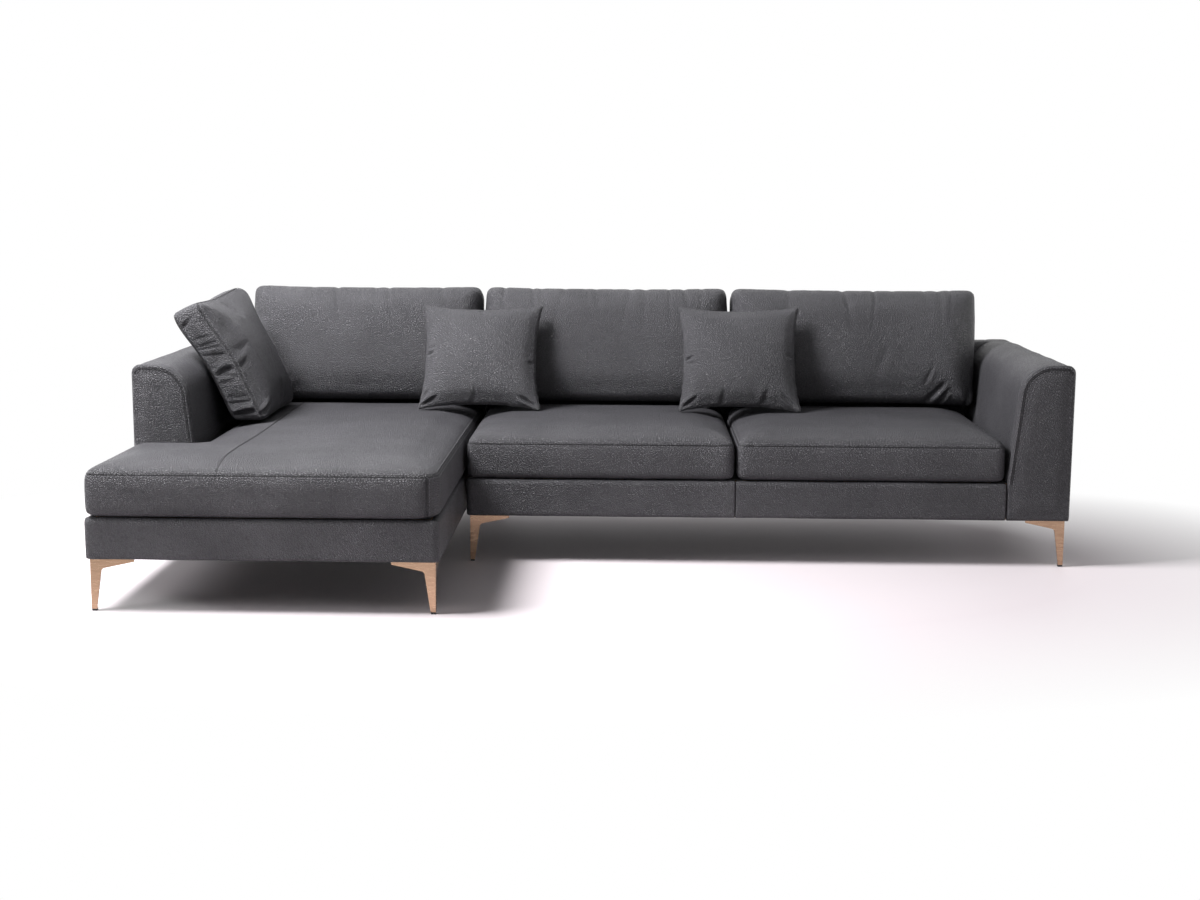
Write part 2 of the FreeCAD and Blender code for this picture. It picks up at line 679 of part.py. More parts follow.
def back(module):
    """Frame, padding and cover of one module's back, scribed to the arm beside it."""
    left_hand = module == "chaise"
    left = "left_side + apron_thickness" if left_hand else "sofa_left"
    right = "chaise_right" if left_hand else "right_side - apron_thickness"
    name = module + "_back"
    arm_name = "left" if left_hand else "right"
    scribe = arm_prism(name + "_scribe", "0 - cover_ease", "back_front - cover_skin",
                       "rear_side + cover_skin", left_hand, "core")
    deep_scribe = arm_prism(name + "_deep_scribe", "0 - cover_skin - cover_ease",
                            "back_front - cover_skin", "rear_side + cover_skin", left_hand, "core")
    outside = back_prism(name + "_outside", "0", left, right, True)
    hollow = back_prism(name + "_hollow", "cover_skin", f"{left} + cover_skin", f"{right} - cover_skin",
                        False)
    room = cut(name + "_room", hollow, deep_scribe)
    shell = cut(name + "_shell", outside, room)
    keep(name + "_cover", cut(name + "_cover", shell, scribe))
    stuffing = back_prism(name + "_stuffing", "cover_skin + cover_ease", f"{left} + cover_skin + cover_ease",
                          f"{right} - cover_skin - cover_ease", False)
    easing = arm_prism(name + "_easing", "0 - cover_skin - 2 * cover_ease", "back_front - cover_skin",
                       "rear_side + cover_skin", left_hand, "core")
    fitted = cut(name + "_fitted", stuffing, easing)
    # ladder frame: posts and rails round windows that carry the back springs
    wall = "(cover_skin + arm_padding)"
    near_arm = "(arm_width + back_post_depth)"
    frame_left = f"left_side + {near_arm}" if left_hand else f"sofa_left + {wall}"
    frame_right = f"chaise_right - {wall}" if left_hand else f"right_side - {near_arm}"
    frame_rear = f"rear_side - {wall}"
    frame_height = f"(arm_height - {wall} - back_rear_round - deck_height)"
    frame_width = f"({frame_right} - ({frame_left}))"
    block = box(name + "_block", (frame_left, f"{frame_rear} - back_post_depth", "deck_height"),
                (frame_width, "back_post_depth", frame_height))
    sizes = measures(name, width=frame_width, pitch="window_width + window_margin")
    count = int(sizes["width"] // sizes["pitch"])
    windows = []
    for k in range(count):
        across = f"{frame_left} + {frame_width} * {k + 0.5} / {count} - window_width / 2"
        start = (across, f"{frame_rear} - back_post_depth - 1", "deck_height + window_margin")
        windows.append(box(f"{name}_window_{k}", start,
                           ("window_width", "back_post_depth + 2", f"{frame_height} - 2 * window_margin")))
    keep(name + "_frame", cut(name + "_frame", block, group(name + "_windows", windows)))
    keep(name + "_padding", cut(name + "_padding", fitted, block))


back("chaise")
back("sofa")


# Stuffed forms: rounded outlines stacked through the thickness and skinned
def rounded_outline(corners, radii, level):
    """Lines and quarter arcs round an outline at one level; corners run anticlockwise."""
    joints = []
    count = len(corners)
    for k in range(count):
        spot = FreeCAD.Vector(*corners[k], level)
        before = (FreeCAD.Vector(*corners[k - 1], level) - spot).normalize()
        after = (FreeCAD.Vector(*corners[(k + 1) % count], level) - spot).normalize()
        centre = spot + (before + after) * radii[k]
        crest = centre - (before + after).normalize() * radii[k]
        joints.append((spot + before * radii[k], crest, spot + after * radii[k]))
    edges = []
    for k, (start, crest, end) in enumerate(joints):
        edges.append(Part.Arc(start, crest, end).toShape())
        edges.append(Part.makeLine(end, joints[(k + 1) % count][0]))
    return edges


def drawn_in(corners, amounts):
    """Move an outline's corners in; amounts gives left, right, near and far."""
    left, right, near, far = amounts
    moved = []
    count = len(corners)
    for k in range(count):
        x, y = corners[k]
        before = corners[k - 1]
        after = corners[(k + 1) % count]
        for one, two in ((before, (x, y)), ((x, y), after)):
            if abs(one[1] - two[1]) < 1e-6:
                y = corners[k][1] + (near if two[0] > one[0] else -far)
            else:
                x = corners[k][0] + (-right if two[1] > one[1] else left)
        moved.append((x, y))
    return moved


CROWN_STEPS = 5


def crown_steps(rise, run):
    """Level and share of the run at each step of a crown, a quarter of an ellipse."""
    full = math.pi / 2 * CROWN_STEPS / (CROWN_STEPS + 1)
    steps = []
    for k in range(1, CROWN_STEPS + 1):
        angle = full * k / CROWN_STEPS
        drawn = run * (1 - math.cos(angle)) / (1 - math.cos(full))
        steps.append((rise * math.sin(angle) / math.sin(full), drawn))
    return steps


def closed_form(rings):
    """A solid from stacked rings of edges; each edge has its parallel in the next ring."""
    faces = [Part.Face(Part.Wire(rings[0])), Part.Face(Part.Wire(rings[-1]))]
    for below, above in zip(rings, rings[1:]):
        for low, high in zip(below, above):
            start, end = (vertex.Point for vertex in low.Vertexes)
            far_start, far_end = (vertex.Point for vertex in high.Vertexes)
            if low.Curve.TypeId == "Part::GeomCircle":
                faces.append(low.extrude(far_start - start))
            else:
                faces.append(Part.Face(Part.makePolygon([start, end, far_end, far_start, start])))
    shell = Part.makeShell(faces)
    shell.sewShape()
    return Part.makeSolid(Part.Shell(shell.Faces))


def stuffed(levels, corners, radii):
    """Skin a stack of outlines; levels gives height and the four amounts of draw-in."""
    return closed_form([rounded_outline(drawn_in(corners, amounts), radii, level)
                        for level, amounts in levels])


def seat_levels(size):
    """Levels of a boxed seat cushion: tucked bottom, two seams, crown."""
    seam = size["seam"]
    dip = size["dip"]
    levels = [(0, (size["tuck"],) * 4), (seam, (dip,) * 4),
              ((seam + size["boxing"]) / 2, (0,) * 4), (size["boxing"], (dip,) * 4)]
    for rise, run in crown_steps(size["crown"], size["run"]):
        levels.append((size["boxing"] + rise, (dip + run,) * 4))
    return levels


def soft_piece(name, shape, placement):
    """A stuffed piece as a document object."""
    piece = doc.addObject("Part::Feature", name)
    piece.Shape = shape
    piece.Placement = placement
    return keep(name, piece)


SEAT = measures(
    "seat", boxing="seat_boxing", crown="seat_crown", run="seat_crown_run", tuck="seat_tuck",
    seam="seat_seam", dip="seam_dip", corner="seat_corner", inner="seat_inner_corner",
    big="chaise_corner", bottom="deck_height + rest_gap", gap="seat_gap", left="left_side",
    right="chaise_right", front="chaise_front - cushion_overhang",
    arm_front="left_arm_front - seat_gap", arm_inner="left_arm_inner + seat_gap",
    rear="back_front - seat_gap", sofa_front="sofa_front", sofa_left="sofa_left",
    sofa_right="right_arm_inner", middle="seat_middle")
SEAT_TOP = SEAT["bottom"] + SEAT["boxing"] + SEAT["crown"]
SEAT_PLACE = FreeCAD.Placement(FreeCAD.Vector(0, 0, SEAT["bottom"]), FreeCAD.Rotation())


def chaise_cushion():
    """The long cushion: full width before the arm, narrower beside it."""
    corners = [(SEAT["left"], SEAT["front"]), (SEAT["right"], SEAT["front"]), (SEAT["right"], SEAT["rear"]),
               (SEAT["arm_inner"], SEAT["rear"]), (SEAT["arm_inner"], SEAT["arm_front"]),
               (SEAT["left"], SEAT["arm_front"])]
    small = SEAT["corner"]
    shape = stuffed(seat_levels(SEAT), corners, [small, SEAT["big"], small, small, SEAT["inner"], small])
    soft_piece("chaise_cushion", shape, SEAT_PLACE)


def seat_cushion(name, left, right):
    """A square seat cushion of the sofa."""
    corners = [(left, SEAT["sofa_front"]), (right, SEAT["sofa_front"]),
               (right, SEAT["rear"]), (left, SEAT["rear"])]
    shape = stuffed(seat_levels(SEAT), corners, [SEAT["corner"]] * 4)
    soft_piece(name, shape, SEAT_PLACE)


chaise_cushion()
seat_cushion("seat_cushion_left", SEAT["sofa_left"], SEAT["middle"] - SEAT["gap"] / 2)
seat_cushion("seat_cushion_right", SEAT["middle"] + SEAT["gap"] / 2, SEAT["sofa_right"] - SEAT["gap"])

BACK = measures(
    "back_cushions", height="back_cushion_height", depth="back_cushion_depth", crown="back_cushion_crown",
    corner="back_cushion_corner", foot_corner="back_cushion_foot_corner", gap="back_cushion_gap",
    run="back_cushion_run", foot_run="back_cushion_foot_run", head_run="back_cushion_head_run",
    head_dip="back_cushion_head_dip", rear="back_cushion_rear", rear_run="back_cushion_rear_run",
    rear_foot_run="back_cushion_rear_foot_run", rear_head_run="back_cushion_rear_head_run",
    dip="seam_dip", lean="back_lean", rest="rest_gap", foot="back_front", deck="deck_height",
    flare="(seat_boxing + seat_crown) * tan(arm_slope * 1 deg)")
LEAN = math.radians(BACK["lean"])
LEAN_UP = FreeCAD.Vector(0, math.sin(LEAN), math.cos(LEAN))
LEAN_OUT = FreeCAD.Vector(0, -math.cos(LEAN), math.sin(LEAN))


def lowest(shape, turn):
    """Height of a shape's lowest point once it is turned."""
    turned = shape.copy()
    turned.Placement = FreeCAD.Placement(FreeCAD.Vector(), turn)
    return turned.optimalBoundingBox(False).ZMin


def farthest(shape, turn, way):
    """How far a turned shape reaches along a direction."""
    turned = shape.copy()
    level = FreeCAD.Rotation(way, FreeCAD.Vector(0, 0, 1))
    turned.Placement = FreeCAD.Placement(FreeCAD.Vector(), level.multiply(turn))
    return turned.optimalBoundingBox(False).ZMax


def back_cushion(name, left, right):
    """A loose back cushion, plump low down and thin at the top, leaning on the back."""
    width = right - left
    corners = [(0, 0), (width, 0), (width, BACK["height"]), (0, BACK["height"])]
    dip = BACK["dip"]
    head_dip = dip + BACK["head_dip"]
    box_front = BACK["depth"] - BACK["crown"]
    levels = [(0, (BACK["rear_run"], BACK["rear_run"], BACK["rear_foot_run"], BACK["rear_head_run"])),
              (BACK["rear"], (dip,) * 4), ((BACK["rear"] + box_front) / 2, (0,) * 4),
              (box_front, (dip, dip, dip, head_dip))]
    for rise, share in crown_steps(BACK["crown"], 1):
        side = dip + share * BACK["run"]
        levels.append((box_front + rise, (side, side, dip + share * BACK["foot_run"],
                                          head_dip + share * BACK["head_run"])))
    low, high = BACK["foot_corner"], BACK["corner"]
    shape = stuffed(levels, corners, [low, low, high, high])
    turn = FreeCAD.Rotation(FreeCAD.Vector(1, 0, 0), 90 - BACK["lean"])
    plane_foot = FreeCAD.Vector(left, BACK["foot"], BACK["deck"]) + LEAN_OUT * BACK["rest"]
    raise_by = (SEAT_TOP + BACK["rest"] - lowest(shape, turn) - plane_foot.z) / LEAN_UP.z
    soft_piece(name, shape, FreeCAD.Placement(plane_foot + LEAN_UP * raise_by, turn))


def back_row():
    """Three back cushions, each over its own seat; the outer two reach the arms' sloping sides."""
    gap = BACK["gap"]
    left_end = SEAT["arm_inner"] - SEAT["gap"] - BACK["flare"] + gap / 2
    right_end = SEAT["sofa_right"] + BACK["flare"] - gap / 2
    back_cushion("back_cushion_left", left_end, SEAT["right"] - gap / 2)
    back_cushion("back_cushion_middle", SEAT["sofa_left"] + gap / 2, SEAT["middle"] - gap / 2)
    back_cushion("back_cushion_right", SEAT["middle"] + gap / 2, right_end)


back_row()


def side_cushion():
    """A boxed cushion that leans on the left arm's rounded edge."""
    size = measures(
        "side_cushion", length="side_cushion_length", height="side_cushion_height",
        boxing="side_cushion_boxing", crown="side_cushion_crown", run="side_cushion_run",
        rear="side_cushion_rear", rear_run="side_cushion_rear_run", dip="seam_dip",
        lean="side_cushion_lean", corner="side_cushion_corner", rest="rest_gap",
        edge="arm_inner_round", top="arm_height", slope="arm_slope", side="left_side",
        face="arm_width - (arm_height - arm_inner_round - deck_height) * tan(arm_slope * 1 deg)")
    length = size["length"]
    height = size["height"]
    corners = [(0, 0), (length, 0), (length, height), (0, height)]
    dip = size["dip"]
    box_front = size["rear"] + size["boxing"]
    levels = [(0, (size["rear_run"],) * 4), (size["rear"], (dip,) * 4),
              ((size["rear"] + box_front) / 2, (0,) * 4), (box_front, (dip,) * 4)]
    levels += [(box_front + rise, (dip + run,) * 4) for rise, run in crown_steps(size["crown"], size["run"])]
    shape = stuffed(levels, corners, [size["corner"]] * 4)
    lean = math.radians(size["lean"])
    up = FreeCAD.Vector(-math.sin(lean), 0, math.cos(lean))
    out = FreeCAD.Vector(math.cos(lean), 0, math.sin(lean))
    turn = FreeCAD.Rotation(FreeCAD.Vector(0, 1, 0), up, out, "XYZ")
    # the round edge of the arm that the cushion's back lies against
    slope = math.radians(size["slope"])
    hub_across = size["side"] + size["face"] - size["edge"] / math.cos(slope)
    hub = FreeCAD.Vector(hub_across, 0, size["top"] - size["edge"])
    touch = hub + out * (size["edge"] + size["rest"])
    raise_by = (SEAT_TOP + size["rest"] - lowest(shape, turn) - touch.z) / up.z
    rear_end = BACK["foot"] - (BACK["depth"] + 2 * BACK["rest"]) / math.cos(LEAN) + (
        SEAT_TOP - BACK["deck"]) * math.tan(LEAN) - SEAT["gap"]
    base = touch + up * raise_by
    base.y = rear_end - length
    soft_piece("side_cushion", shape, FreeCAD.Placement(base, turn))


side_cushion()


# Throw pillows: knife edged, sides drawn in between pointed corners
PILLOW = measures(
    "pillows", width="pillow_width", height="pillow_height", depth="pillow_depth", waist="pillow_waist",
    ear="pillow_ear", lean="pillow_lean", rim="pillow_rim", crown_run="pillow_crown_run",
    left="pillow_left_place", right="pillow_right_place", rest="rest_gap")
PILLOW_STRETCHES = 8
PILLOW_RINGS = 5


def pillow_outline(share, level):
    """A square whose sides are drawn in along a parabola, at a share of the full size."""
    half = PILLOW["width"] / 2
    tall = PILLOW["height"] / 2
    spots = []
    for turn in range(4):
        reach, across = (tall, half) if turn % 2 == 0 else (half, tall)
        swing = FreeCAD.Rotation(FreeCAD.Vector(0, 0, 1), 90 * turn)
        for step in range(PILLOW_STRETCHES + 1):
            along = 2 * step / PILLOW_STRETCHES - 1
            hollow = PILLOW["waist"] * (1 - along * along)
            spot = FreeCAD.Vector(along * (across - PILLOW["ear"]), hollow - reach, 0) * share
            spots.append(swing.multVec(spot) + FreeCAD.Vector(0, 0, level))
    return [Part.makeLine(spots[k], spots[(k + 1) % len(spots)]) for k in range(len(spots))]


def throw_pillow(name, place):
    """A pillow that stands on the seats and leans on the back cushions."""
    half_depth = PILLOW["depth"] / 2
    rim = PILLOW["rim"] / 2
    levels = [(rim, 1.0)]
    for step in range(1, PILLOW_RINGS + 1):
        swell = math.pi / 2 * step / PILLOW_RINGS
        drawn = PILLOW["crown_run"] * (1 - math.cos(swell))
        levels.append((rim + (half_depth - rim) * math.sin(swell), 1 - drawn))
    rings = [(-level, share) for level, share in reversed(levels)] + levels
    shape = closed_form([pillow_outline(share, level) for level, share in rings])
    turn = FreeCAD.Rotation(FreeCAD.Vector(1, 0, 0), 90 - PILLOW["lean"])
    rearward = FreeCAD.Vector(0, math.cos(LEAN), -math.sin(LEAN))
    wall = FreeCAD.Vector(0, BACK["foot"], BACK["deck"]) + LEAN_OUT * (BACK["rest"] + BACK["depth"])
    height = SEAT_TOP + PILLOW["rest"] - lowest(shape, turn)
    reach = rearward.dot(wall) - PILLOW["rest"] - farthest(shape, turn, rearward)
    along = (reach - rearward.z * height) / rearward.y
    soft_piece(name, shape, FreeCAD.Placement(FreeCAD.Vector(place, along, height), turn))


throw_pillow("throw_pillow_left", PILLOW["left"])
throw_pillow("throw_pillow_right", PILLOW["right"])

# Check every object and write one file for each node
doc.recompute()
for item in doc.Objects:
    if "Invalid" in item.State or "Error" in item.State:
        raise ValueError(f"{item.Name} did not build: {item.State}")
for name, piece in nodes.items():
    shape = piece.Shape
    if shape.isNull() or not shape.isValid():
        raise ValueError(f"{name} has no valid shape")
    if shape.Volume <= 0:
        raise ValueError(f"{name} has no volume")
    shape.exportStep(f"parts/{name}.step")
print(f"{len(nodes)} nodes written")
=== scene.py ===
# %% [markdown]
# # Dressing a leather sectional sofa
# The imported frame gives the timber, the metal legs and plain solids for everything that is stuffed.
# This lesson dresses it: foam cushions in charcoal leather, padded arms, back and aprons, seams and thread.
# Everything is in metres, +Z is up, the sofa looks towards -Y and its chaise is on the -X side.
# The frame is loaded first, and its box is kept, because no cushion may make the sofa bigger than it is.

# %% Load the frame
import math

import bpy
import numpy as np
from mathutils import Matrix, Vector
from mathutils.bvhtree import BVHTree


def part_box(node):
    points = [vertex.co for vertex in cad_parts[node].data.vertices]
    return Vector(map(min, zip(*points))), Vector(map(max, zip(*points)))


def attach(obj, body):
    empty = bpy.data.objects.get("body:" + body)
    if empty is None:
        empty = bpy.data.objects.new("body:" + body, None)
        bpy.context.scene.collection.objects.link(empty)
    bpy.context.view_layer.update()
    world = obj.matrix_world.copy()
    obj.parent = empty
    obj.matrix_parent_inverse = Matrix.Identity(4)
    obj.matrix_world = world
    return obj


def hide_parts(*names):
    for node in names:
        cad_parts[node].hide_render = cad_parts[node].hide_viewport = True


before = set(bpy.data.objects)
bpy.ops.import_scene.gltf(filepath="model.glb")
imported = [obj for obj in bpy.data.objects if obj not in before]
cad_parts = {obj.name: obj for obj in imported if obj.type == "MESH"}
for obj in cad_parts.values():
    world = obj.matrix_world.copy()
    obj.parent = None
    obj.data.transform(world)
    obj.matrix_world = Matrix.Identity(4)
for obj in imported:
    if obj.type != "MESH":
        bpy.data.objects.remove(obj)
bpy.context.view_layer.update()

# %% [markdown]
# ## Camera and light
# The photograph was taken from about 5.4 m, a little right of the middle and a little above arm height.
# A camera can be aimed by a constraint or by its own axes; here its three axes are written out, because
# the small roll of the photograph is kept that way. The lens gives the same width of view as the photograph.

# %% The camera
EYE = Vector((0.0678, -5.3608, 1.1848))
YAW, PITCH, ROLL = math.radians(1.0666), math.radians(8.9244), math.radians(0.343)
ahead = Vector((-math.sin(YAW) * math.cos(PITCH), math.cos(YAW) * math.cos(PITCH), -math.sin(PITCH)))
level = Vector((math.cos(YAW), math.sin(YAW), 0))
upright = level.cross(ahead)
right_way = level * math.cos(ROLL) + upright * math.sin(ROLL)
up_way = upright * math.cos(ROLL) - level * math.sin(ROLL)
lens = bpy.data.cameras.new("photo_camera")
lens.sensor_width = 36
lens.lens = 50.52
camera = bpy.data.objects.new("photo_camera", lens)
bpy.context.scene.collection.objects.link(camera)
camera.matrix_world = Matrix.Translation(EYE) @ Matrix((right_way, up_way, -ahead)).transposed().to_4x4()
bpy.context.scene.camera = camera
bpy.context.scene.view_settings.view_transform = "Standard"
print("camera", [round(v, 3) for v in camera.location])

# %% [markdown]
# ## A few hands
# These helpers do what a maker does over and over: clear the bench, pick faces or edges by where they are,
# round an edge, run an outline into a slab. Each one works through Blender's own operators.

# %% Clearing, picking and rounding
def clear_bench():
    """Leave edit mode and let go of everything."""
    if bpy.context.object and bpy.context.object.mode != "OBJECT":
        bpy.ops.object.mode_set(mode="OBJECT")
    bpy.ops.object.select_all(action="DESELECT")


def take(piece):
    """Select one piece alone and make it the active one."""
    clear_bench()
    piece.select_set(True)
    bpy.context.view_layer.objects.active = piece


def lying(axis, level, near=1e-5):
    """A test of whether both ends of an edge lie at one level of an axis."""
    return lambda one, two: abs(one[axis] - level) < near and abs(two[axis] - level) < near


def round_off(piece, test, radius, segments):
    """Bevel the edges whose two ends pass the test into a round."""
    take(piece)
    mesh = piece.data
    bpy.context.tool_settings.mesh_select_mode = (False, True, False)
    mesh.polygons.foreach_set("select", [False] * len(mesh.polygons))
    mesh.vertices.foreach_set("select", [False] * len(mesh.vertices))
    chosen = [test(*(mesh.vertices[k].co for k in edge.vertices)) for edge in mesh.edges]
    mesh.edges.foreach_set("select", chosen)
    bpy.ops.object.mode_set(mode="EDIT")
    bpy.ops.mesh.bevel(offset=radius, offset_type="OFFSET", segments=segments, affect="EDGES")
    bpy.ops.object.mode_set(mode="OBJECT")


def slab(name, corners, run):
    """A disc with one corner for each point, pulled to that outline and extruded."""
    clear_bench()
    bpy.ops.mesh.primitive_circle_add(vertices=len(corners), radius=0.1, fill_type="NGON")
    piece = bpy.context.object
    piece.name = name
    for vertex, spot in zip(piece.data.vertices, corners):
        vertex.co = spot
    bpy.ops.object.mode_set(mode="EDIT")
    bpy.ops.mesh.select_all(action="SELECT")
    bpy.ops.mesh.extrude_region_move(TRANSFORM_OT_translate={"value": run})
    bpy.ops.mesh.select_all(action="SELECT")
    bpy.ops.mesh.normals_make_consistent(inside=False)
    bpy.ops.object.mode_set(mode="OBJECT")
    return piece


def finish_with(piece, kind, **settings):
    """Add a modifier and apply it."""
    take(piece)
    modifier = piece.modifiers.new(kind.lower(), kind)
    for key, value in settings.items():
        setattr(modifier, key, value)
    bpy.ops.object.modifier_apply(modifier=modifier.name)


def remesh(piece, voxel):
    """Turn a piece into one even skin of small faces."""
    finish_with(piece, "REMESH", mode="VOXEL", voxel_size=voxel)


def smooth(piece, rounds):
    """Even out the points of a skin."""
    finish_with(piece, "SMOOTH", factor=0.5, iterations=rounds)


# %% [markdown]
# ## Reading and moving points
# A stuffed form is easiest to shape by moving its many small points together, so these helpers hand a mesh's
# points to numpy and back, smooth them, and blow them up with Blender's own cloth.

# %% Points, smoothing and swelling
def points(piece):
    """All points of a mesh as rows of x, y, z."""
    flat = np.empty(len(piece.data.vertices) * 3)
    piece.data.vertices.foreach_get("co", flat)
    return flat.reshape(-1, 3)


def set_points(piece, spots):
    """Write the points back."""
    piece.data.vertices.foreach_set("co", np.ascontiguousarray(spots, dtype=np.float32).ravel())
    piece.data.update()


def normals(piece):
    """The outward direction at every point."""
    flat = np.empty(len(piece.data.vertices) * 3)
    piece.data.vertices.foreach_get("normal", flat)
    return flat.reshape(-1, 3)


def swell(piece, reach, pressure=4.0, frames=20, bend=0.5):
    """Blow the piece up as cloth and let no point move further than its reach."""
    start = points(piece)
    take(piece)
    cloth = piece.modifiers.new("cloth", "CLOTH")
    for key, value in (("quality", 4), ("use_pressure", True), ("uniform_pressure_force", pressure),
                       ("tension_stiffness", 15.0), ("compression_stiffness", 15.0),
                       ("bending_stiffness", bend)):
        setattr(cloth.settings, key, value)
    cloth.settings.effector_weights.gravity = 0
    cloth.collision_settings.use_collision = False
    cloth.point_cache.frame_end = frames
    for step in range(1, frames + 1):
        bpy.context.scene.frame_set(step)
    bpy.ops.object.modifier_apply(modifier=cloth.name)
    bpy.context.scene.frame_set(1)
    moved = points(piece) - start
    length = np.linalg.norm(moved, axis=1, keepdims=True)
    limit = np.broadcast_to(np.asarray(reach, dtype=float).reshape(-1, 1), length.shape)
    set_points(piece, start + moved * np.minimum(1.0, limit / np.maximum(length, 1e-9)))


def ramp(value, low, high):
    """Nought below low, one above high, smooth between."""
    share = np.clip((value - low) / (high - low), 0, 1)
    return share * share * (3 - 2 * share)


# %% [markdown]
# ## Where each cushion sits
# A cushion that leans is easier to make lying flat. Its own three directions, across, up and out, turn the
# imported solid's points into a flat box, and the finished cushion goes back along the same directions.

# %% Flat frames of the cushions
class Lie:
    """The directions of one cushion and the room its solid takes in them."""

    def __init__(self, node, across, up):
        self.node = node
        self.axes = np.array([across, up, np.cross(across, up)], dtype=float)
        flat = points(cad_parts[node]) @ self.axes.T
        self.low, self.high = flat.min(0), flat.max(0)
        self.size = self.high - self.low

    def put(self, piece):
        """Carry a piece from its flat box to its place."""
        set_points(piece, (points(piece) + self.low) @ self.axes)
        if np.linalg.det(self.axes) < 0:
            piece.data.flip_normals()


def stand(lie, spots, level=0.432, reach=0.2):
    """Press the foot of a leaning cushion flat on the seat, fading out by the reach up its height."""
    foot = (level - (spots[:, 2] + lie.low[2]) * lie.axes[2][2]) / lie.axes[1][2] - lie.low[1]
    spots[:, 1] += foot * np.clip(1 - spots[:, 1] / reach, 0, 1)
    return spots


def leaning(angle):
    """Across and up of a cushion that leans back by an angle in degrees."""
    turn = math.radians(angle)
    return (1, 0, 0), (0, math.sin(turn), math.cos(turn))


SEATS = ("seat_cushion_left", "seat_cushion_right")
BACKS = ("back_cushion_left", "back_cushion_middle", "back_cushion_right")
PILLOWS = ("throw_pillow_left", "throw_pillow_right")
BACK_LEAN, PILLOW_LEAN, SIDE_LEAN = 14, 28, math.radians(25)
lies = {name: Lie(name, (1, 0, 0), (0, 1, 0)) for name in ("chaise_cushion", *SEATS)}
lies.update({name: Lie(name, *leaning(BACK_LEAN)) for name in BACKS})
lies.update({name: Lie(name, *leaning(PILLOW_LEAN)) for name in PILLOWS})
lies["side_cushion"] = Lie("side_cushion", (0, 1, 0), (-math.sin(SIDE_LEAN), 0, math.cos(SIDE_LEAN)))
for name, lie in lies.items():
    print(name, [round(v, 3) for v in lie.size])

# %% [markdown]
# ## Leather
# The leather is a charcoal full-grain hide with a pebbled face and a half-matt finish. Its pebbles could be
# carved into the mesh, but they are about five millimetres across and a fraction of a millimetre high, so
# they are shading: cells with soft valleys between them, a finer pore pattern, and slow changes of tone.
# The effect is used by several finishes, so it is a group of nodes with its own inputs and outputs.

# %% The grain group
def feed(made, sockets):
    """Fill a node's inputs, given by name or number: a socket is joined, anything else is kept as a value."""
    for label, value in sockets.items():
        if isinstance(value, bpy.types.NodeSocket):
            made.id_data.links.new(value, made.inputs[label])
        else:
            made.inputs[label].default_value = value


def node(tree, kind, sockets=None, **settings):
    """Add a shader node, set its properties and fill its inputs."""
    made = tree.nodes.new(kind)
    for key, value in settings.items():
        setattr(made, key, value)
    feed(made, sockets or {})
    return made


def reckon(tree, operation, first, second, clamp=False):
    """A math node on sockets or numbers; gives its output."""
    return node(tree, "ShaderNodeMath", {0: first, 1: second}, operation=operation, use_clamp=clamp).outputs[0]


grain = bpy.data.node_groups.new("pebble_grain", "ShaderNodeTree")
for way, label, kind in (("INPUT", "Place", "Vector"), ("INPUT", "Cells", "Float"),
                         ("OUTPUT", "Height", "Float"), ("OUTPUT", "Valleys", "Float"),
                         ("OUTPUT", "Tone", "Float")):
    grain.interface.new_socket(name=label, in_out=way, socket_type="NodeSocket" + kind)
grain_in, grain_out = grain.nodes.new("NodeGroupInput"), grain.nodes.new("NodeGroupOutput")
stir = node(grain, "ShaderNodeTexNoise", {"Vector": grain_in.outputs["Place"], "Scale": 60, "Detail": 1})
shake = node(grain, "ShaderNodeVectorMath", {0: stir.outputs["Color"], 1: (0.006, 0.006, 0.006),
                                             2: grain_in.outputs["Place"]}, operation="MULTIPLY_ADD")
edges = []
for number, steepness in ((grain_in.outputs["Cells"], 3.2),
                          (reckon(grain, "MULTIPLY", grain_in.outputs["Cells"], 2.3), 2.5)):
    cells = node(grain, "ShaderNodeTexVoronoi", {"Vector": shake.outputs[0], "Scale": number},
                 feature="DISTANCE_TO_EDGE")
    edges.append(reckon(grain, "MULTIPLY", cells.outputs["Distance"], steepness, clamp=True))
pebble = reckon(grain, "POWER", edges[0], 0.6)
drift = node(grain, "ShaderNodeTexNoise", {"Vector": grain_in.outputs["Place"], "Scale": 5, "Detail": 4})
feed(grain_out, {"Height": reckon(grain, "ADD", pebble, reckon(grain, "MULTIPLY", edges[1], 0.3)),
                 "Valleys": reckon(grain, "SUBTRACT", 1.0, pebble, clamp=True), "Tone": drift.outputs["Fac"]})
print("grain group", len(grain.nodes), "nodes")

# %% [markdown]
# The finish itself stays in the material: colour, gloss and bump. Two tones of charcoal are mixed by the slow
# drift, the valleys get painted shade and are a little duller, and a mask painted on each mesh paints shade
# along the seams.

# %% Leather finishes
def plain_colour(code):
    """A colour written as it looks on screen, turned into the renderer's own numbers."""
    made = []
    for k in (0, 2, 4):
        value = int(code[k:k + 2], 16) / 255
        made.append(value / 12.92 if value <= 0.04045 else ((value + 0.055) / 1.055) ** 2.4)
    return (*made, 1.0)


def finish(name):
    """A new material with its node tree and its shader."""
    made = bpy.data.materials.new(name)
    made.use_nodes = True
    return made, made.node_tree, made.node_tree.nodes["Principled BSDF"]


def blend_colours(tree, factor, first, second):
    """Mix two colours, each a code or a socket, by a factor."""
    first, second = (plain_colour(value) if isinstance(value, str) else value for value in (first, second))
    return node(tree, "ShaderNodeMix", {0: factor, 6: first, 7: second}, data_type="RGBA").outputs[2]


def stretch(tree, value, low, high, bottom, top):
    """Map a range of values to another."""
    return node(tree, "ShaderNodeMapRange", {"Value": value, "From Min": low, "From Max": high,
                                             "To Min": bottom, "To Max": top}).outputs["Result"]


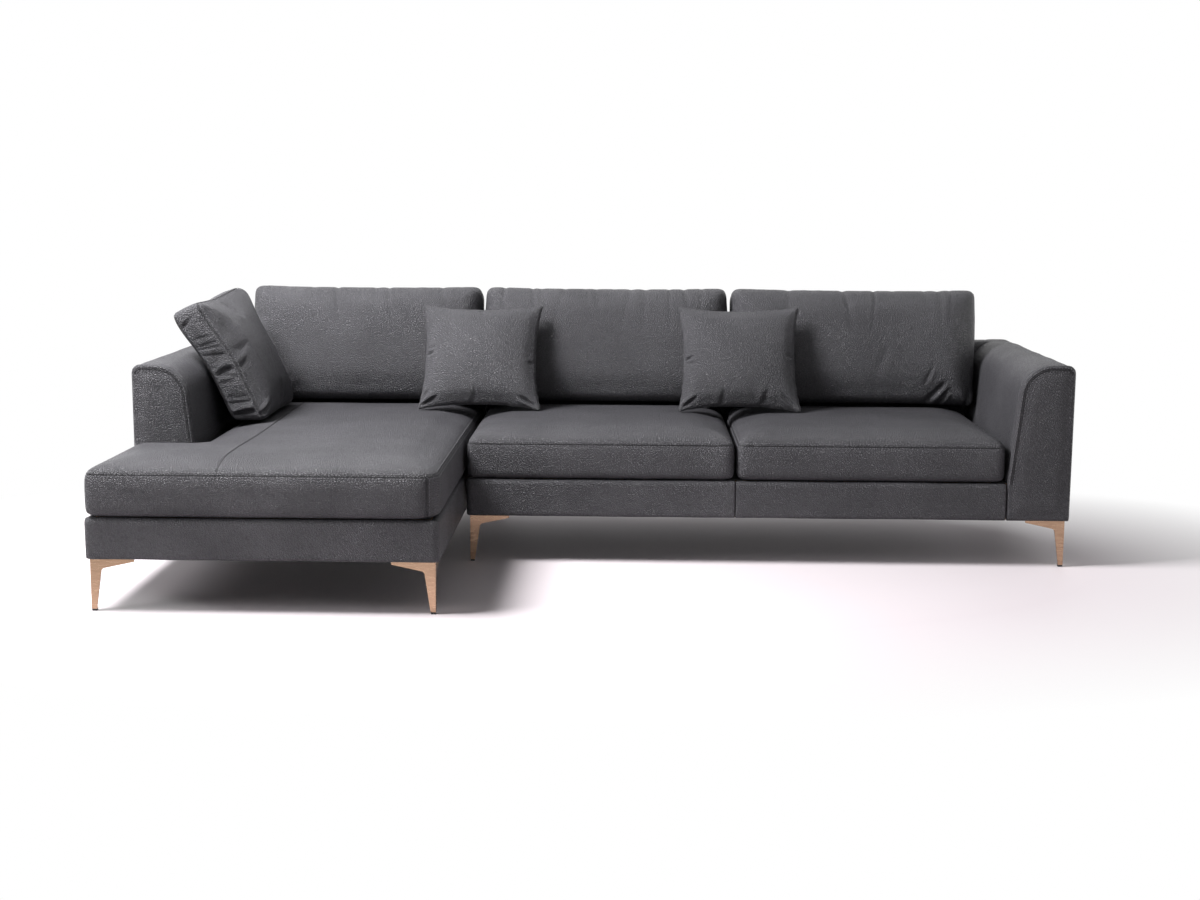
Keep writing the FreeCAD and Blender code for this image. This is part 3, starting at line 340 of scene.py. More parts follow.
def leather(name, light, dark, crease, cells_per_metre=160.0, height=0.0018):
    """Charcoal leather in two tones, with painted shade in the grain's valleys and along the seams; the crease
    colour is that shade.
    """
    made, tree, shader = finish(name)
    place = node(tree, "ShaderNodeTexCoord")
    face = node(tree, "ShaderNodeGroup", node_tree=grain)
    feed(face, {"Cells": cells_per_metre, "Place": place.outputs["Object"]})
    body = blend_colours(tree, stretch(tree, face.outputs["Tone"], 0.35, 0.65, 0.0, 1.0), dark, light)
    # The crease colour is painted shade: it darkens the grain's valleys, where the pebbles shade each other.
    body = blend_colours(tree, stretch(tree, face.outputs["Valleys"], 0.2, 0.9, 0.0, 0.7), body, crease)
    # The seam attribute carries painted shade along the seams' dips, mixed in with the same crease colour.
    seam = node(tree, "ShaderNodeAttribute", attribute_name="seam")
    body = blend_colours(tree, reckon(tree, "MULTIPLY", seam.outputs["Fac"], 0.6, clamp=True), body, crease)
    gloss = reckon(tree, "ADD", stretch(tree, face.outputs["Valleys"], 0.0, 1.0, 0.37, 0.56),
                   stretch(tree, face.outputs["Tone"], 0.3, 0.7, 0.03, -0.03))
    relief = node(tree, "ShaderNodeBump", {"Strength": 1.0, "Distance": height,
                                           "Height": face.outputs["Height"]})
    feed(shader, {"Base Color": body, "Roughness": gloss, "Specular IOR Level": 0.32,
                  "Normal": relief.outputs["Normal"]})
    return made


# The third colour is painted shade for the grain's valleys and the seams.
hide = leather("charcoal_leather", "464549", "3a393d", "1f1f22")
thread_finish, _, thread_shader = finish("grey_thread")
feed(thread_shader, {"Base Color": plain_colour("5b5a5e"), "Roughness": 0.6})
print("leather finishes made")

# %% [markdown]
# ## Outlines, seams and thread
# A cushion cover is cut from flat panels, so every cushion starts from an outline with rounded corners. Where
# two panels meet there is a seam: the leather dips, a narrow line of shade shows, and a row of stitches runs on
# each side. The dip is pressed into the mesh, the line of shade is painted on a thin cord in darker leather laid
# in it, and one stitch is modelled, repeated by an Array and bent along the seam by a Curve modifier.

# %% Outlines
def rounded(corners, radii, steps=7):
    """An outline with rounded corners; the corners run anticlockwise."""
    spots = []
    for k, (corner, radius) in enumerate(zip(corners, radii)):
        corner = np.array(corner, dtype=float)
        before = np.array(corners[k - 1]) - corner
        after = np.array(corners[(k + 1) % len(corners)]) - corner
        before, after = before / np.linalg.norm(before), after / np.linalg.norm(after)
        centre = corner + (before + after) * radius
        start = math.atan2(*(before * radius + corner - centre)[::-1])
        swing = math.atan2(*(after * radius + corner - centre)[::-1]) - start
        swing = (swing + math.pi) % (2 * math.pi) - math.pi
        for step in range(steps + 1):
            angle = start + swing * step / steps
            spots.append(centre + radius * np.array([math.cos(angle), math.sin(angle)]))
    return np.array(spots)


def depth_inside(outline, flat):
    """How far each flat point is from the outline."""
    nearest = np.full(len(flat), 9.0)
    for start, end in zip(outline, np.roll(outline, -1, axis=0)):
        run = end - start
        share = np.clip((flat - start) @ run / (run @ run), 0, 1)
        nearest = np.minimum(nearest, np.linalg.norm(flat - start - share[:, None] * run, axis=1))
    return nearest


def walk(line, pitch, closed):
    """Even steps along a line of points."""
    line = np.array(line, dtype=float)
    if closed:
        line = np.vstack([line, line[:1]])
    reach = np.concatenate([[0], np.cumsum(np.linalg.norm(np.diff(line, axis=0), axis=1))])
    count = max(2, int(round(reach[-1] / pitch)))
    spots = np.linspace(0, reach[-1], count, endpoint=not closed)
    return np.stack([np.interp(spots, reach, line[:, k]) for k in range(line.shape[1])], axis=1)


def swollen(share):
    """A quarter of an ellipse: steep at the seam, level in the middle."""
    return np.sqrt(np.maximum(0, 1 - (1 - np.clip(share, 0, 1)) ** 2))


# %% Seams
def skin_of(piece):
    """The surface of a piece, ready to be felt for."""
    return BVHTree.FromPolygons([v.co for v in piece.data.vertices],
                                [face.vertices for face in piece.data.polygons])


def feel(skin, starts, way, lift=0.0):
    """Where straight probes, all one way or each its own, meet a surface; one that misses is left out."""
    met = []
    for start, ahead in zip(starts, np.broadcast_to(way, np.shape(starts))):
        spot, facing, _, _ = skin.ray_cast(Vector(start), Vector(ahead))
        if spot is not None:
            met.append(np.array(spot) + np.array(facing) * lift)
    return np.array(met)


def ring(skin, outline, level, pitch=0.008, lift=0.0):
    """The line round a cushion at one level of its thickness."""
    flat = walk(outline, pitch, True)
    along = np.roll(flat, -1, axis=0) - np.roll(flat, 1, axis=0)
    outward = np.stack([along[:, 1], -along[:, 0], np.zeros(len(flat))], axis=1)
    outward /= np.linalg.norm(outward, axis=1, keepdims=True)
    spots = np.column_stack([flat, np.full(len(flat), level)])
    return feel(skin, spots + outward * 0.06, -outward, lift)


def rings(skin, outline, *levels):
    """Closed lines round a cushion at several levels."""
    return [(ring(skin, outline, level), True) for level in levels]


def press_seams(piece, lines, depth=0.0018, width=0.0035):
    """Press the seams' lines into a piece and paint the seam attribute, painted shade that darkens them."""
    spots, facing = points(piece), normals(piece)
    nearest = np.full(len(spots), 9.0)
    for line, closed in lines:
        dense = walk(line, 0.003, closed)
        low, high = dense.min(0) - 0.02, dense.max(0) + 0.02
        close = np.flatnonzero(np.all((spots > low) & (spots < high), axis=1))
        for part in np.array_split(close, max(1, len(close) // 4000)):
            gap = spots[part, None, :] - dense[None, :, :]
            nearest[part] = np.minimum(nearest[part], np.sqrt((gap ** 2).sum(2).min(1)))
    set_points(piece, spots - facing * (depth * np.exp(-(nearest / width) ** 2))[:, None])
    # Painted shade: this attribute darkens the leather along the seams' dips, where shade falls in the joint.
    seam_shade_mask = piece.data.attributes.new("seam", "FLOAT", "POINT")
    seam_shade_mask.data.foreach_set("value", np.exp(-(nearest / 0.003) ** 2).astype(np.float32))


def line_curve(name, path, closed):
    """A poly curve through the points of a path."""
    made = bpy.data.curves.new(name, "CURVE")
    made.dimensions = "3D"
    spline = made.splines.new("POLY")
    spline.points.add(len(path) - 1)
    for spot, place in zip(spline.points, path):
        spot.co = (*place, 1)
    spline.use_cyclic_u = closed
    shown = bpy.data.objects.new(name, made)
    bpy.context.scene.collection.objects.link(shown)
    return shown


def cord_along(name, path, closed, radius=0.0008):
    """A thin round cord along a path, as a mesh."""
    shown = line_curve(name, path, closed)
    shown.data.bevel_depth = radius
    shown.data.bevel_resolution = 1
    shown.data.use_fill_caps = not closed
    take(shown)
    bpy.ops.object.convert(target="MESH")
    return shown


def stitches_along(name, path, closed, pitch=0.0095):
    """One stitch, repeated and bent along a path."""
    guide = line_curve(name + "_guide", path, closed)
    loop = np.vstack([path, path[:1]]) if closed else path
    length = np.linalg.norm(np.diff(loop, axis=0), axis=1).sum()
    count = max(2, int(length / pitch))
    clear_bench()
    bpy.ops.mesh.primitive_uv_sphere_add(segments=6, ring_count=4, radius=1)
    stitch = bpy.context.object
    stitch.name = name
    bpy.ops.transform.resize(value=(0.0034, 0.0009, 0.0009))
    bpy.ops.object.transform_apply(location=True, rotation=True, scale=True)
    finish_with(stitch, "ARRAY", count=count, use_relative_offset=False, use_constant_offset=True,
                constant_offset_displace=(length / count, 0, 0))
    finish_with(stitch, "CURVE", object=guide, deform_axis="POS_X")
    bpy.data.objects.remove(guide)
    return stitch


def joined(name, made):
    """Several meshes of one finish as one piece."""
    take(made[0])
    for piece in made[1:]:
        piece.select_set(True)
    bpy.ops.object.join()
    made[0].name = name
    return made[0]


def dress(piece, material, body):
    """Give a finished piece its material, its smooth shading and the body that it rides on."""
    piece.data.materials.clear()
    piece.data.materials.append(material)
    piece.data.polygons.foreach_set("use_smooth", [True] * len(piece.data.polygons))
    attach(piece, body)


# Painted shade: the cords in the seams are darker leather, standing in for the shade in each seam's dip.
seam_shade_finish = leather("seam_shade_leather", "2a292c", "222124", "1a191b")


def trim(name, seams, rows, body, place=None):
    """Lay the cords and stitches of a piece; seams and rows are lists of a path and whether it closes."""
    cords = joined(name + "_seams", [cord_along(f"{name}_cord_{k}", path, closed)
                                     for k, (path, closed) in enumerate(seams)])
    thread = joined(name + "_thread", [stitches_along(f"{name}_row_{k}", path, closed)
                                       for k, (path, closed) in enumerate(rows)])
    # The cords take the painted-shade finish; the stitches take the thread's own grey.
    for piece, material in ((cords, seam_shade_finish), (thread, thread_finish)):
        if place:
            place.put(piece)
        dress(piece, material, body)


# %% [markdown]
# ## Seat cushions
# A seat cushion is a block of foam in a boxed cover: a top panel, a boxing strip all round, and a bottom.
# It could be lofted panel by panel, but one closed skin that is cut from a slab, domed between its seams and
# then blown up a little as cloth has the same soft, tight look, and no joints to hide. The point of the dome
# rises fast at the seam and slowly in the middle, as foam under leather does.

# %% Shape of the seat cushions
SEAT_BOX = 0.112
CHAISE_BOX = 0.121
HEM, EASE, ROW_GAP = 0.006, 0.004, 0.006


def cover_plan(width, height):
    """The four corners of a rectangular cover, drawn in by the ease that the swelling takes up."""
    return [(EASE, EASE), (width - EASE, EASE), (width - EASE, height - EASE), (EASE, height - EASE)]


def settle(piece, low, high):
    """Stretch a piece a little so that it just fills a box."""
    spots = points(piece)
    bottom, top = spots.min(0), spots.max(0)
    set_points(piece, (spots - bottom) / (top - bottom) * (np.array(high) - low) + low)


def fill_out(piece, rounds, low, high):
    """Smooth a swollen skin, refine it and make it fill its box."""
    smooth(piece, rounds)
    finish_with(piece, "SUBSURF", levels=1, render_levels=1)
    settle(piece, low, high)


def seat_shape(name, corners, radii, voxel, box):
    """The domed block of one seat cushion in its flat box, swollen and smoothed."""
    lie = lies[name]
    outline = rounded(corners, radii)
    piece = slab(name + "_leather", [(*spot, 0.0) for spot in outline], (0, 0, box))
    round_off(piece, lying(2, 0.0), 0.018, 5)
    remesh(piece, voxel)
    spots = points(piece)
    inside = depth_inside(outline, spots[:, :2])
    crown = lie.size[2] - box
    dome = crown * (0.72 * swollen(inside / 0.05) + 0.28 * swollen(inside / 0.30))
    high = ramp(spots[:, 2], box * 0.7, box)
    spots[:, 2] += dome * high
    set_points(piece, spots)
    reach = 0.004 + 0.012 * high * ramp(inside, 0.0, 0.12)
    reach[spots[:, 2] < 0.012] = 0.0008
    swell(piece, reach)
    fill_out(piece, 5, (0.001, 0.001, 0.0), (lie.size[0] - 0.001, lie.size[1] - 0.001, lie.size[2]))
    print(piece.name, len(piece.data.polygons), "faces, dome", round(crown, 3))
    return piece, outline


def finish_seat(name, piece, outline, box, extra=lambda skin: ([], [])):
    """Seams, thread, leather and place of one seat cushion; extra gives further seams and rows."""
    lie = lies[name]
    skin = skin_of(piece)
    more_seams, more_rows = extra(skin)
    seams = rings(skin, outline, box) + more_seams
    rows = rings(skin, outline, box + ROW_GAP, box - ROW_GAP) + more_rows
    press_seams(piece, seams)
    lie.put(piece)
    dress(piece, hide, name)
    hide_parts(name)
    trim(name, seams, rows, name, lie)


for name in SEATS:
    width, depth, _ = lies[name].size
    shape, outline = seat_shape(name, cover_plan(width, depth), [0.026] * 4, 0.011, SEAT_BOX)
    finish_seat(name, shape, outline, SEAT_BOX)

# %% [markdown]
# ## The chaise cushion
# The long cushion is one piece with a step cut out where the arm stands. Its top is sewn from two panels, so
# a seam runs from front to back beside the arm's line, and the boxing is joined at the rounded corner.

# %% The chaise cushion
PANEL_LINE = 0.374
JOINT_LINE = 0.957


def panel_seam(skin, shift=0.0):
    """The seam across the top of the chaise, felt for from above."""
    depth = lies["chaise_cushion"].size[1]
    line = np.array([(PANEL_LINE + 0.006 * math.sin(y * 3) + shift, y, 0.3)
                     for y in np.arange(0.006, depth - 0.02, 0.01)])
    return feel(skin, line, (0, 0, -1))


def corner_joint(skin, shift=0.0):
    """The joint in the boxing near the rounded front corner."""
    line = np.array([(JOINT_LINE + shift, -0.05, z) for z in np.arange(HEM, CHAISE_BOX, 0.006)])
    return feel(skin, line, (0, 1, 0))


def chaise_lines(skin):
    """The seams and rows that only the chaise has."""
    return ([(panel_seam(skin), False), (corner_joint(skin), False)],
            [(panel_seam(skin, -ROW_GAP), False), (panel_seam(skin, ROW_GAP), False),
             (corner_joint(skin, ROW_GAP), False)])


width, depth, _ = lies["chaise_cushion"].size
step_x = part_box("left_arm_cover")[1].x + 0.003 - lies["chaise_cushion"].low[0]
step_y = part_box("left_arm_front_panel")[0].y - 0.003 - lies["chaise_cushion"].low[1]
plan = [(EASE, EASE), (width - EASE, EASE), (width - EASE, depth - EASE), (step_x + EASE, depth - EASE),
        (step_x + EASE, step_y - EASE), (EASE, step_y - EASE)]
shape, outline = seat_shape("chaise_cushion", plan, [0.026, 0.066, 0.026, 0.026, 0.006, 0.026], 0.012,
                            CHAISE_BOX)
finish_seat("chaise_cushion", shape, outline, CHAISE_BOX, chaise_lines)

# %% [markdown]
# ## Back cushions
# The back cushions are filled with fibre as well as foam, so they are plump low down, thin at the top, round
# at the upper corners, and the leather falls in soft folds from the top edge. They are made lying on their
# backs and blown up more than the seats.

# %% Folds
def folds(spots, facing, along, across, centres, dice, widths, depths, slants, window):
    """Ridges and hollows across a direction. The dice draw their sizes within three spans, and window says how
    strongly each point takes part."""
    push = np.zeros(len(spots))
    sizes = [dice.uniform(*span, len(centres)) for span in (widths, depths, slants)]
    for centre, width, depth, slant in zip(centres, *sizes):
        gap = (along - centre - slant * across) / width
        push += depth * np.exp(-gap ** 2)
    return spots + facing * (push * window)[:, None]


def pinch(spots, facing, crease, window, plane=(0, 1), ridge=0.6, apart=1.8):
    """Press in one crease, a hollow with a soft ridge beside it, drawn in one plane."""
    centre, lean, length, breadth, depth = crease
    ahead_a, ahead_b = math.cos(lean), math.sin(lean)
    first, second = (spots[:, axis] - middle for axis, middle in zip(plane, centre))
    run = first * ahead_a + second * ahead_b
    off = second * ahead_a - first * ahead_b
    hollow = np.exp(-(off / breadth) ** 2)
    shape = hollow - ridge * np.exp(-((off - apart * breadth) / (1.2 * breadth)) ** 2)
    return spots - facing * (depth * shape * np.exp(-(run / length) ** 4) * window)[:, None]


# %% The three back cushions
def back_cushion(name, seed, sides, creases=()):
    """One back cushion; sides gives how far each of its two sides leans out at its foot and at its top."""
    lie = lies[name]
    width, height, thick = lie.size
    rear, front = 0.022, 0.165
    outline = rounded(cover_plan(width, height), [0.018, 0.018, 0.03, 0.03])
    piece = slab(name + "_leather", [(*spot, rear) for spot in outline], (0, 0, front - rear))
    round_off(piece, lying(2, rear), 0.02, 3)
    remesh(piece, 0.0105)
    spots = points(piece)
    from_foot = 2.0 * spots[:, 1] * ramp(-spots[:, 1], -0.05, 0.0)
    inside = np.minimum(depth_inside(outline, spots[:, :2]) + from_foot,
                        np.minimum(spots[:, 0], width - spots[:, 0]))
    below_top = np.clip(height - EASE - spots[:, 1], 0, None)
    crown = (thick - front) * (0.6 * swollen(inside / 0.05) + 0.4 * swollen(inside / 0.2))
    slimming = 0.045 * (1 - swollen(below_top / 0.24))
    ahead_share = ramp(spots[:, 2], 0.06, front)
    spots[:, 2] += ahead_share * (crown - slimming)
    spots[:, 2] -= ramp(-spots[:, 2], -0.06, -rear) * rear * 0.9 * swollen(inside / 0.15)
    set_points(piece, spots)
    reach = 0.004 + 0.018 * ahead_share * ramp(inside, 0.0, 0.1)
    reach[spots[:, 2] < 0.03] = 0.002
    swell(piece, reach, pressure=4.5)
    fill_out(piece, 4, (0.001, 0.0, 0.0), (width - 0.001, height, thick))
    spots, facing = points(piece), normals(piece)
    dice = np.random.default_rng(seed)
    count = 12
    top = ramp(spots[:, 1], height * 0.45, height * 0.88) * ramp(spots[:, 2], 0.05, 0.12)
    centres = np.linspace(0.08, width - 0.08, count) + dice.uniform(-0.025, 0.025, count)
    spots = folds(spots, facing, spots[:, 0], height - spots[:, 1], centres, dice, (0.006, 0.013),
                  (-0.0038, 0.0012), (-0.25, 0.25), top)
    set_points(piece, spots)
    for crease in creases:
        spots, facing = points(piece), normals(piece)
        set_points(piece, pinch(spots, facing, crease, ramp(spots[:, 2], 0.05, 0.1), ridge=0.55, apart=1.9))
    spots = points(piece)
    share = np.clip(spots[:, 1] / height, 0, 1)
    (left_foot, left_top), (right_foot, right_top) = sides
    across = np.clip(spots[:, 0] / width, 0, 1)
    spots[:, 0] += (right_foot + (right_top - right_foot) * share) * across
    spots[:, 0] -= (left_foot + (left_top - left_foot) * share) * (1 - across)
    set_points(piece, stand(lie, spots))
    lie.put(piece)
    press_seams(piece, [])
    dress(piece, hide, name)
    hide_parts(name)
    print(piece.name, len(piece.data.polygons), "faces")


back_cushion("back_cushion_left", 3, ((0.0, 0.018), (0.0065, 0.0065)))
back_cushion("back_cushion_middle", 8, ((0.0065, 0.0065), (0.014, 0.014)))
back_cushion("back_cushion_right", 5, ((-0.008, -0.008), (0.002, 0.020)),
             [((0.688, 0.096), 4.20, 0.030, 0.006, 0.004), ((0.714, 0.045), 3.88, 0.040, 0.007, 0.008),
              ((0.742, 0.030), 4.21, 0.022, 0.006, 0.006), ((0.826, 0.020), 4.50, 0.025, 0.006, 0.006),
              ((0.52, 0.13), 4.3, 0.05, 0.014, 0.002)])

# %% [markdown]
# ## The side cushion
# A boxed cushion leans on the left arm. Its cover is a little large for its filling, so the boxing strip is
# gathered: short folds run across it from seam to seam, and its lower corner is pinched. The folds are made
# last, on the swollen form, because a swelling would iron them out.

# %% The side cushion
lie = lies["side_cushion"]
width, height, thick = lie.size
BACK_SEAM, FACE_SEAM = 0.016, 0.102
outline = rounded(cover_plan(width, height), [0.014, 0.03, 0.03, 0.02])
side = slab("side_cushion_leather", [(*spot, BACK_SEAM) for spot in outline], (0, 0, FACE_SEAM - BACK_SEAM))
remesh(side, 0.006)
spots = points(side)
inside = depth_inside(outline, spots[:, :2])
front_share = ramp(spots[:, 2], 0.05, FACE_SEAM)
rear_share = ramp(-spots[:, 2], -0.05, -BACK_SEAM)
dome = 0.45 * swollen(inside / 0.07) + 0.55 * swollen(inside / 0.19)
spots[:, 2] += front_share * (thick - FACE_SEAM) * dome
spots[:, 2] -= rear_share * BACK_SEAM * swollen(inside / 0.12)
set_points(side, spots)
swell(side, 0.004 + 0.018 * front_share * ramp(inside, 0.0, 0.08))
fill_out(side, 4, (-0.012, 0.0, 0.0), (width - 0.001, height + 0.012, thick))
skin = skin_of(side)
seams = rings(skin, outline, BACK_SEAM, FACE_SEAM)
rows = rings(skin, outline, FACE_SEAM + ROW_GAP, FACE_SEAM - ROW_GAP)
press_seams(side, seams, depth=0.003, width=0.005)
spots, facing = points(side), normals(side)
dice = np.random.default_rng(21)
strip = (ramp(spots[:, 2], BACK_SEAM, BACK_SEAM + 0.02)
         * ramp(-spots[:, 2], -FACE_SEAM + 0.002, -FACE_SEAM + 0.02))
near_end = strip * ramp(-spots[:, 0], -0.03, -0.008) * ramp(-spots[:, 1], -height + 0.015, -height + 0.05)
count = 30
centres = np.linspace(0.012, height - 0.012, count) + dice.uniform(-0.005, 0.005, count)
spots = folds(spots, facing, spots[:, 1], spots[:, 2] - 0.06, centres, dice, (0.0035, 0.006),
              (-0.0026, 0.0010), (-0.45, 0.05), near_end)
top_strip = strip * ramp(spots[:, 1], height - 0.03, height - 0.008)
spots = folds(spots, facing, spots[:, 0], spots[:, 2] - 0.06, np.linspace(0.05, width - 0.06, 9), dice,
              (0.006, 0.010), (-0.003, 0.001), (-0.4, 0.4), top_strip)
face_creases = (((0.012, 0.165), 0.35, 0.03, 0.008, 0.0035), ((0.07, height - 0.07), 0.75, 0.09, 0.02, 0.002),
                ((0.12, height - 0.05), 0.9, 0.07, 0.014, 0.0025), ((0.012, 0.03), 0.5, 0.035, 0.006, 0.006))
strip_creases = (((0.06, 0.165), 0.1, 0.03, 0.008, 0.004), ((0.06, 0.03), 0.15, 0.05, 0.007, 0.006),
                 ((0.06, height - 0.03), 0.4, 0.05, 0.007, 0.006))
for crease in face_creases:
    spots = pinch(spots, facing, crease, ramp(spots[:, 2], 0.09, 0.12))
for crease in strip_creases:
    spots = pinch(spots, facing, crease, near_end, plane=(2, 1))
CORNER_TUG = (0.030, 0.010, 0.034)
TOP_BEND = 0.028


def tug(spots):
    """Pull out the rear upper corner, bend the top over the arm and press the foot flat."""
    corner = ramp(spots[:, 0], width * 0.45, width) * ramp(spots[:, 1], height * 0.5, height)
    spots += corner[:, None] * np.array(CORNER_TUG)
    spots[:, 2] -= TOP_BEND * ramp(spots[:, 1], 0.16, height)
    return stand(lie, spots)


set_points(side, tug(spots))
lie.put(side)
dress(side, hide, "side_cushion")
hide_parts("side_cushion")
for path, _ in seams + rows:
    tug(path)
trim("side_cushion", seams, rows, "side_cushion", lie)
print(side.name, len(side.data.polygons), "faces")

# %% [markdown]
# ## Throw pillows
# A throw pillow is two square panels sewn face to face and turned, so it has no boxing: the edge is a knife
# edge, its sides pull in between the corners, and the corners stand out as ears. It is cut flat and larger
# than it ends up, and the cloth does the rest: pressure draws the sides in and throws small folds at the edge.

# %% The throw pillows
def pillow_plan(width, height, waist, ear):
    """A square whose sides are drawn in between its corners."""
    spots = []
    for turn in range(4):
        reach, across = (height / 2, width / 2) if turn % 2 == 0 else (width / 2, height / 2)
        angle = math.pi / 2 * turn
        for share in np.linspace(-1, 1, 15):
            flat_x, flat_y = share * (across - ear), -reach + waist * (1 - share * share) ** 0.8
            spots.append((width / 2 + flat_x * math.cos(angle) - flat_y * math.sin(angle),
                          height / 2 + flat_x * math.sin(angle) + flat_y * math.cos(angle)))
    return np.array(spots)


def throw_pillow(name, creases):
    """One pillow, inflated from its flat cover."""
    lie = lies[name]
    width, height, thick = lie.size
    outline = pillow_plan(width, height, 0.021, 0.004)
    piece = slab(name + "_leather", [(*spot, thick / 2 - 0.005) for spot in outline], (0, 0, 0.010))
    remesh(piece, 0.0055)
    spots = points(piece)
    inside = depth_inside(outline, spots[:, :2])
    half = np.sign(spots[:, 2] - thick / 2) * np.clip(np.abs(spots[:, 2] - thick / 2) / 0.004, 0, 1)
    first, second = spots[:, 0] / width * 2 - 1, spots[:, 1] / height * 2 - 1
    first, second = (first / (1 - 0.10 * np.clip(1 - second ** 2, 0, 1) ** 0.8),
                     second / (1 - 0.11 * np.clip(1 - first ** 2, 0, 1) ** 0.8))
    plump = (np.clip(1 - first ** 2, 0, 1) * np.clip(1 - second ** 2, 0, 1)) ** 0.72
    spots[:, 2] += half * (thick / 2 - 0.006) * plump
    set_points(piece, spots)
    swell(piece, 0.001 + 0.007 * ramp(inside, 0.0, 0.05), frames=12, bend=0.3)
    fill_out(piece, 2, (0, 0, 0), (width, height, thick))
    spots, facing = points(piece), normals(piece)
    inside = depth_inside(outline, spots[:, :2])
    for crease in creases:
        front = ramp(spots[:, 2], thick / 2 - 0.004, thick / 2 + 0.012)
        spots = pinch(spots, facing, crease, front * ramp(inside, 0.0, 0.01))
    set_points(piece, spots)
    skin = skin_of(piece)
    edge = ring(skin, outline, thick / 2, pitch=0.006, lift=-0.0006)
    # No dip here: this only paints shade along the knife edge.
    press_seams(piece, [(edge, True)], depth=0.0, width=0.004)
    lie.put(piece)
    dress(piece, hide, name)
    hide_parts(name)
    welt = cord_along(name + "_welt", edge, True, radius=0.0022)
    lie.put(welt)
    dress(welt, hide, name)
    print(piece.name, len(piece.data.polygons), "faces")


wide, tall = lies["throw_pillow_left"].size[:2]
throw_pillow("throw_pillow_left", [
    ((0.018, tall * 0.50), 0.2, 0.028, 0.006, 0.007), ((0.028, tall * 0.54), 0.45, 0.026, 0.008, 0.003),
    ((wide * 0.47, 0.03), 1.57, 0.035, 0.010, 0.003), ((wide - 0.02, tall * 0.42), 0.1, 0.022, 0.008, 0.003),
    ((0.035, 0.022), 0.5, 0.03, 0.006, 0.007), ((0.022, 0.045), 1.0, 0.022, 0.006, 0.004),
    ((wide - 0.04, 0.022), 2.6, 0.03, 0.006, 0.007), ((wide * 0.5, tall - 0.02), 1.6, 0.02, 0.008, 0.003)])
throw_pillow("throw_pillow_right", [
    ((0.018, tall * 0.47), 0.1, 0.032, 0.006, 0.007), ((0.03, tall * 0.43), -0.25, 0.025, 0.008, 0.003),
    ((wide * 0.36, 0.03), 1.4, 0.035, 0.010, 0.003), ((wide * 0.7, 0.03), 1.2, 0.04, 0.010, 0.003),
    ((0.035, 0.025), 0.6, 0.03, 0.006, 0.006), ((wide - 0.04, 0.03), 2.5, 0.03, 0.006, 0.005),
    ((wide - 0.02, tall * 0.5), 3.0, 0.022, 0.007, 0.005)])

# %% [markdown]
# ## Arms
# An arm is a timber box padded with foam. The inner side slopes, a large round runs over the top, and the
# front is closed by a panel that is set in behind a turned edge with a double row of stitches. Each is a slab
# of the arm's section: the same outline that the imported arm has, rounded and then softened as upholstery.

# %% Arm sections
def arc(hub, radius, first, last, count):
    """Points of a round between two angles."""
    return [(hub[0] + radius * math.cos(angle), hub[1] + radius * math.sin(angle))
            for angle in np.linspace(first, last, count)]


ARM_WIDTH, DECK, ARM_TOP, HEM_LEVEL = 0.200, 0.268, 0.641, 0.148
ARM_SLOPE, ARM_ROUND, ARM_EDGE = math.radians(6), 0.100, 0.026
REAR, HALF_LENGTH, SKIRT = 0.817, 1.45, 0.026
HUB_LEVEL = ARM_TOP - ARM_ROUND
HUB_ACROSS = ARM_WIDTH - (HUB_LEVEL - DECK) * math.tan(ARM_SLOPE) - ARM_ROUND / math.cos(ARM_SLOPE)
SECTION = [(0.0, DECK), (ARM_WIDTH, DECK), *arc((HUB_ACROSS, HUB_LEVEL), ARM_ROUND, ARM_SLOPE, math.pi / 2, 13),
           *arc((ARM_EDGE, ARM_TOP - ARM_EDGE), ARM_EDGE, math.pi / 2, math.pi, 7)]


def arm_place(side):
    """Which way the arm's outer side looks, and where it stands."""
    return (-1, -HALF_LENGTH) if side == "left" else (1, HALF_LENGTH)


def soften(piece, voxel, amount=0.0007, seed=1, rounds=3):
    """Remesh upholstery, fill it out a little and give it the faint waves of leather over foam."""
    remesh(piece, voxel)
    smooth(piece, rounds)
    spots, facing = points(piece), normals(piece)
    dice = np.random.default_rng(seed)
    wave = np.zeros(len(spots))
    for _ in range(14):
        way = dice.normal(size=3)
        way *= dice.uniform(14, 45) / np.linalg.norm(way)
        wave += np.sin(spots @ way + dice.uniform(0, 6.28))
    set_points(piece, spots + facing * (wave * amount / 3)[:, None])


def arm_cover(side):
    """The padded body of one arm, with the skirt that hides the rail."""
    low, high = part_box(side + "_arm_cover")
    way, outer = arm_place(side)
    section = [(0.0, HEM_LEVEL), (SKIRT, HEM_LEVEL), (SKIRT, DECK), *SECTION[1:]]
    piece = slab(f"{side}_arm_leather", [(outer - way * across, low.y, up) for across, up in section],
                 (0, REAR - low.y, 0))
    soften(piece, 0.009, seed=4 if side == "left" else 6)
    settle(piece, np.array(low), np.array(high))
    press_seams(piece, [])
    dress(piece, hide, "frame")
    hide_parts(side + "_arm_cover", side + "_arm_padding")
    print(piece.name, len(piece.data.polygons), "faces")


arm_cover("left")
arm_cover("right")

# %% [markdown]
# The front panel is a shallow slab of the same section. Its edge is rolled, a welt lies in the joint to the
# arm behind it, and two rows of stitches follow the inner slope and the top, as they do on the real arm.

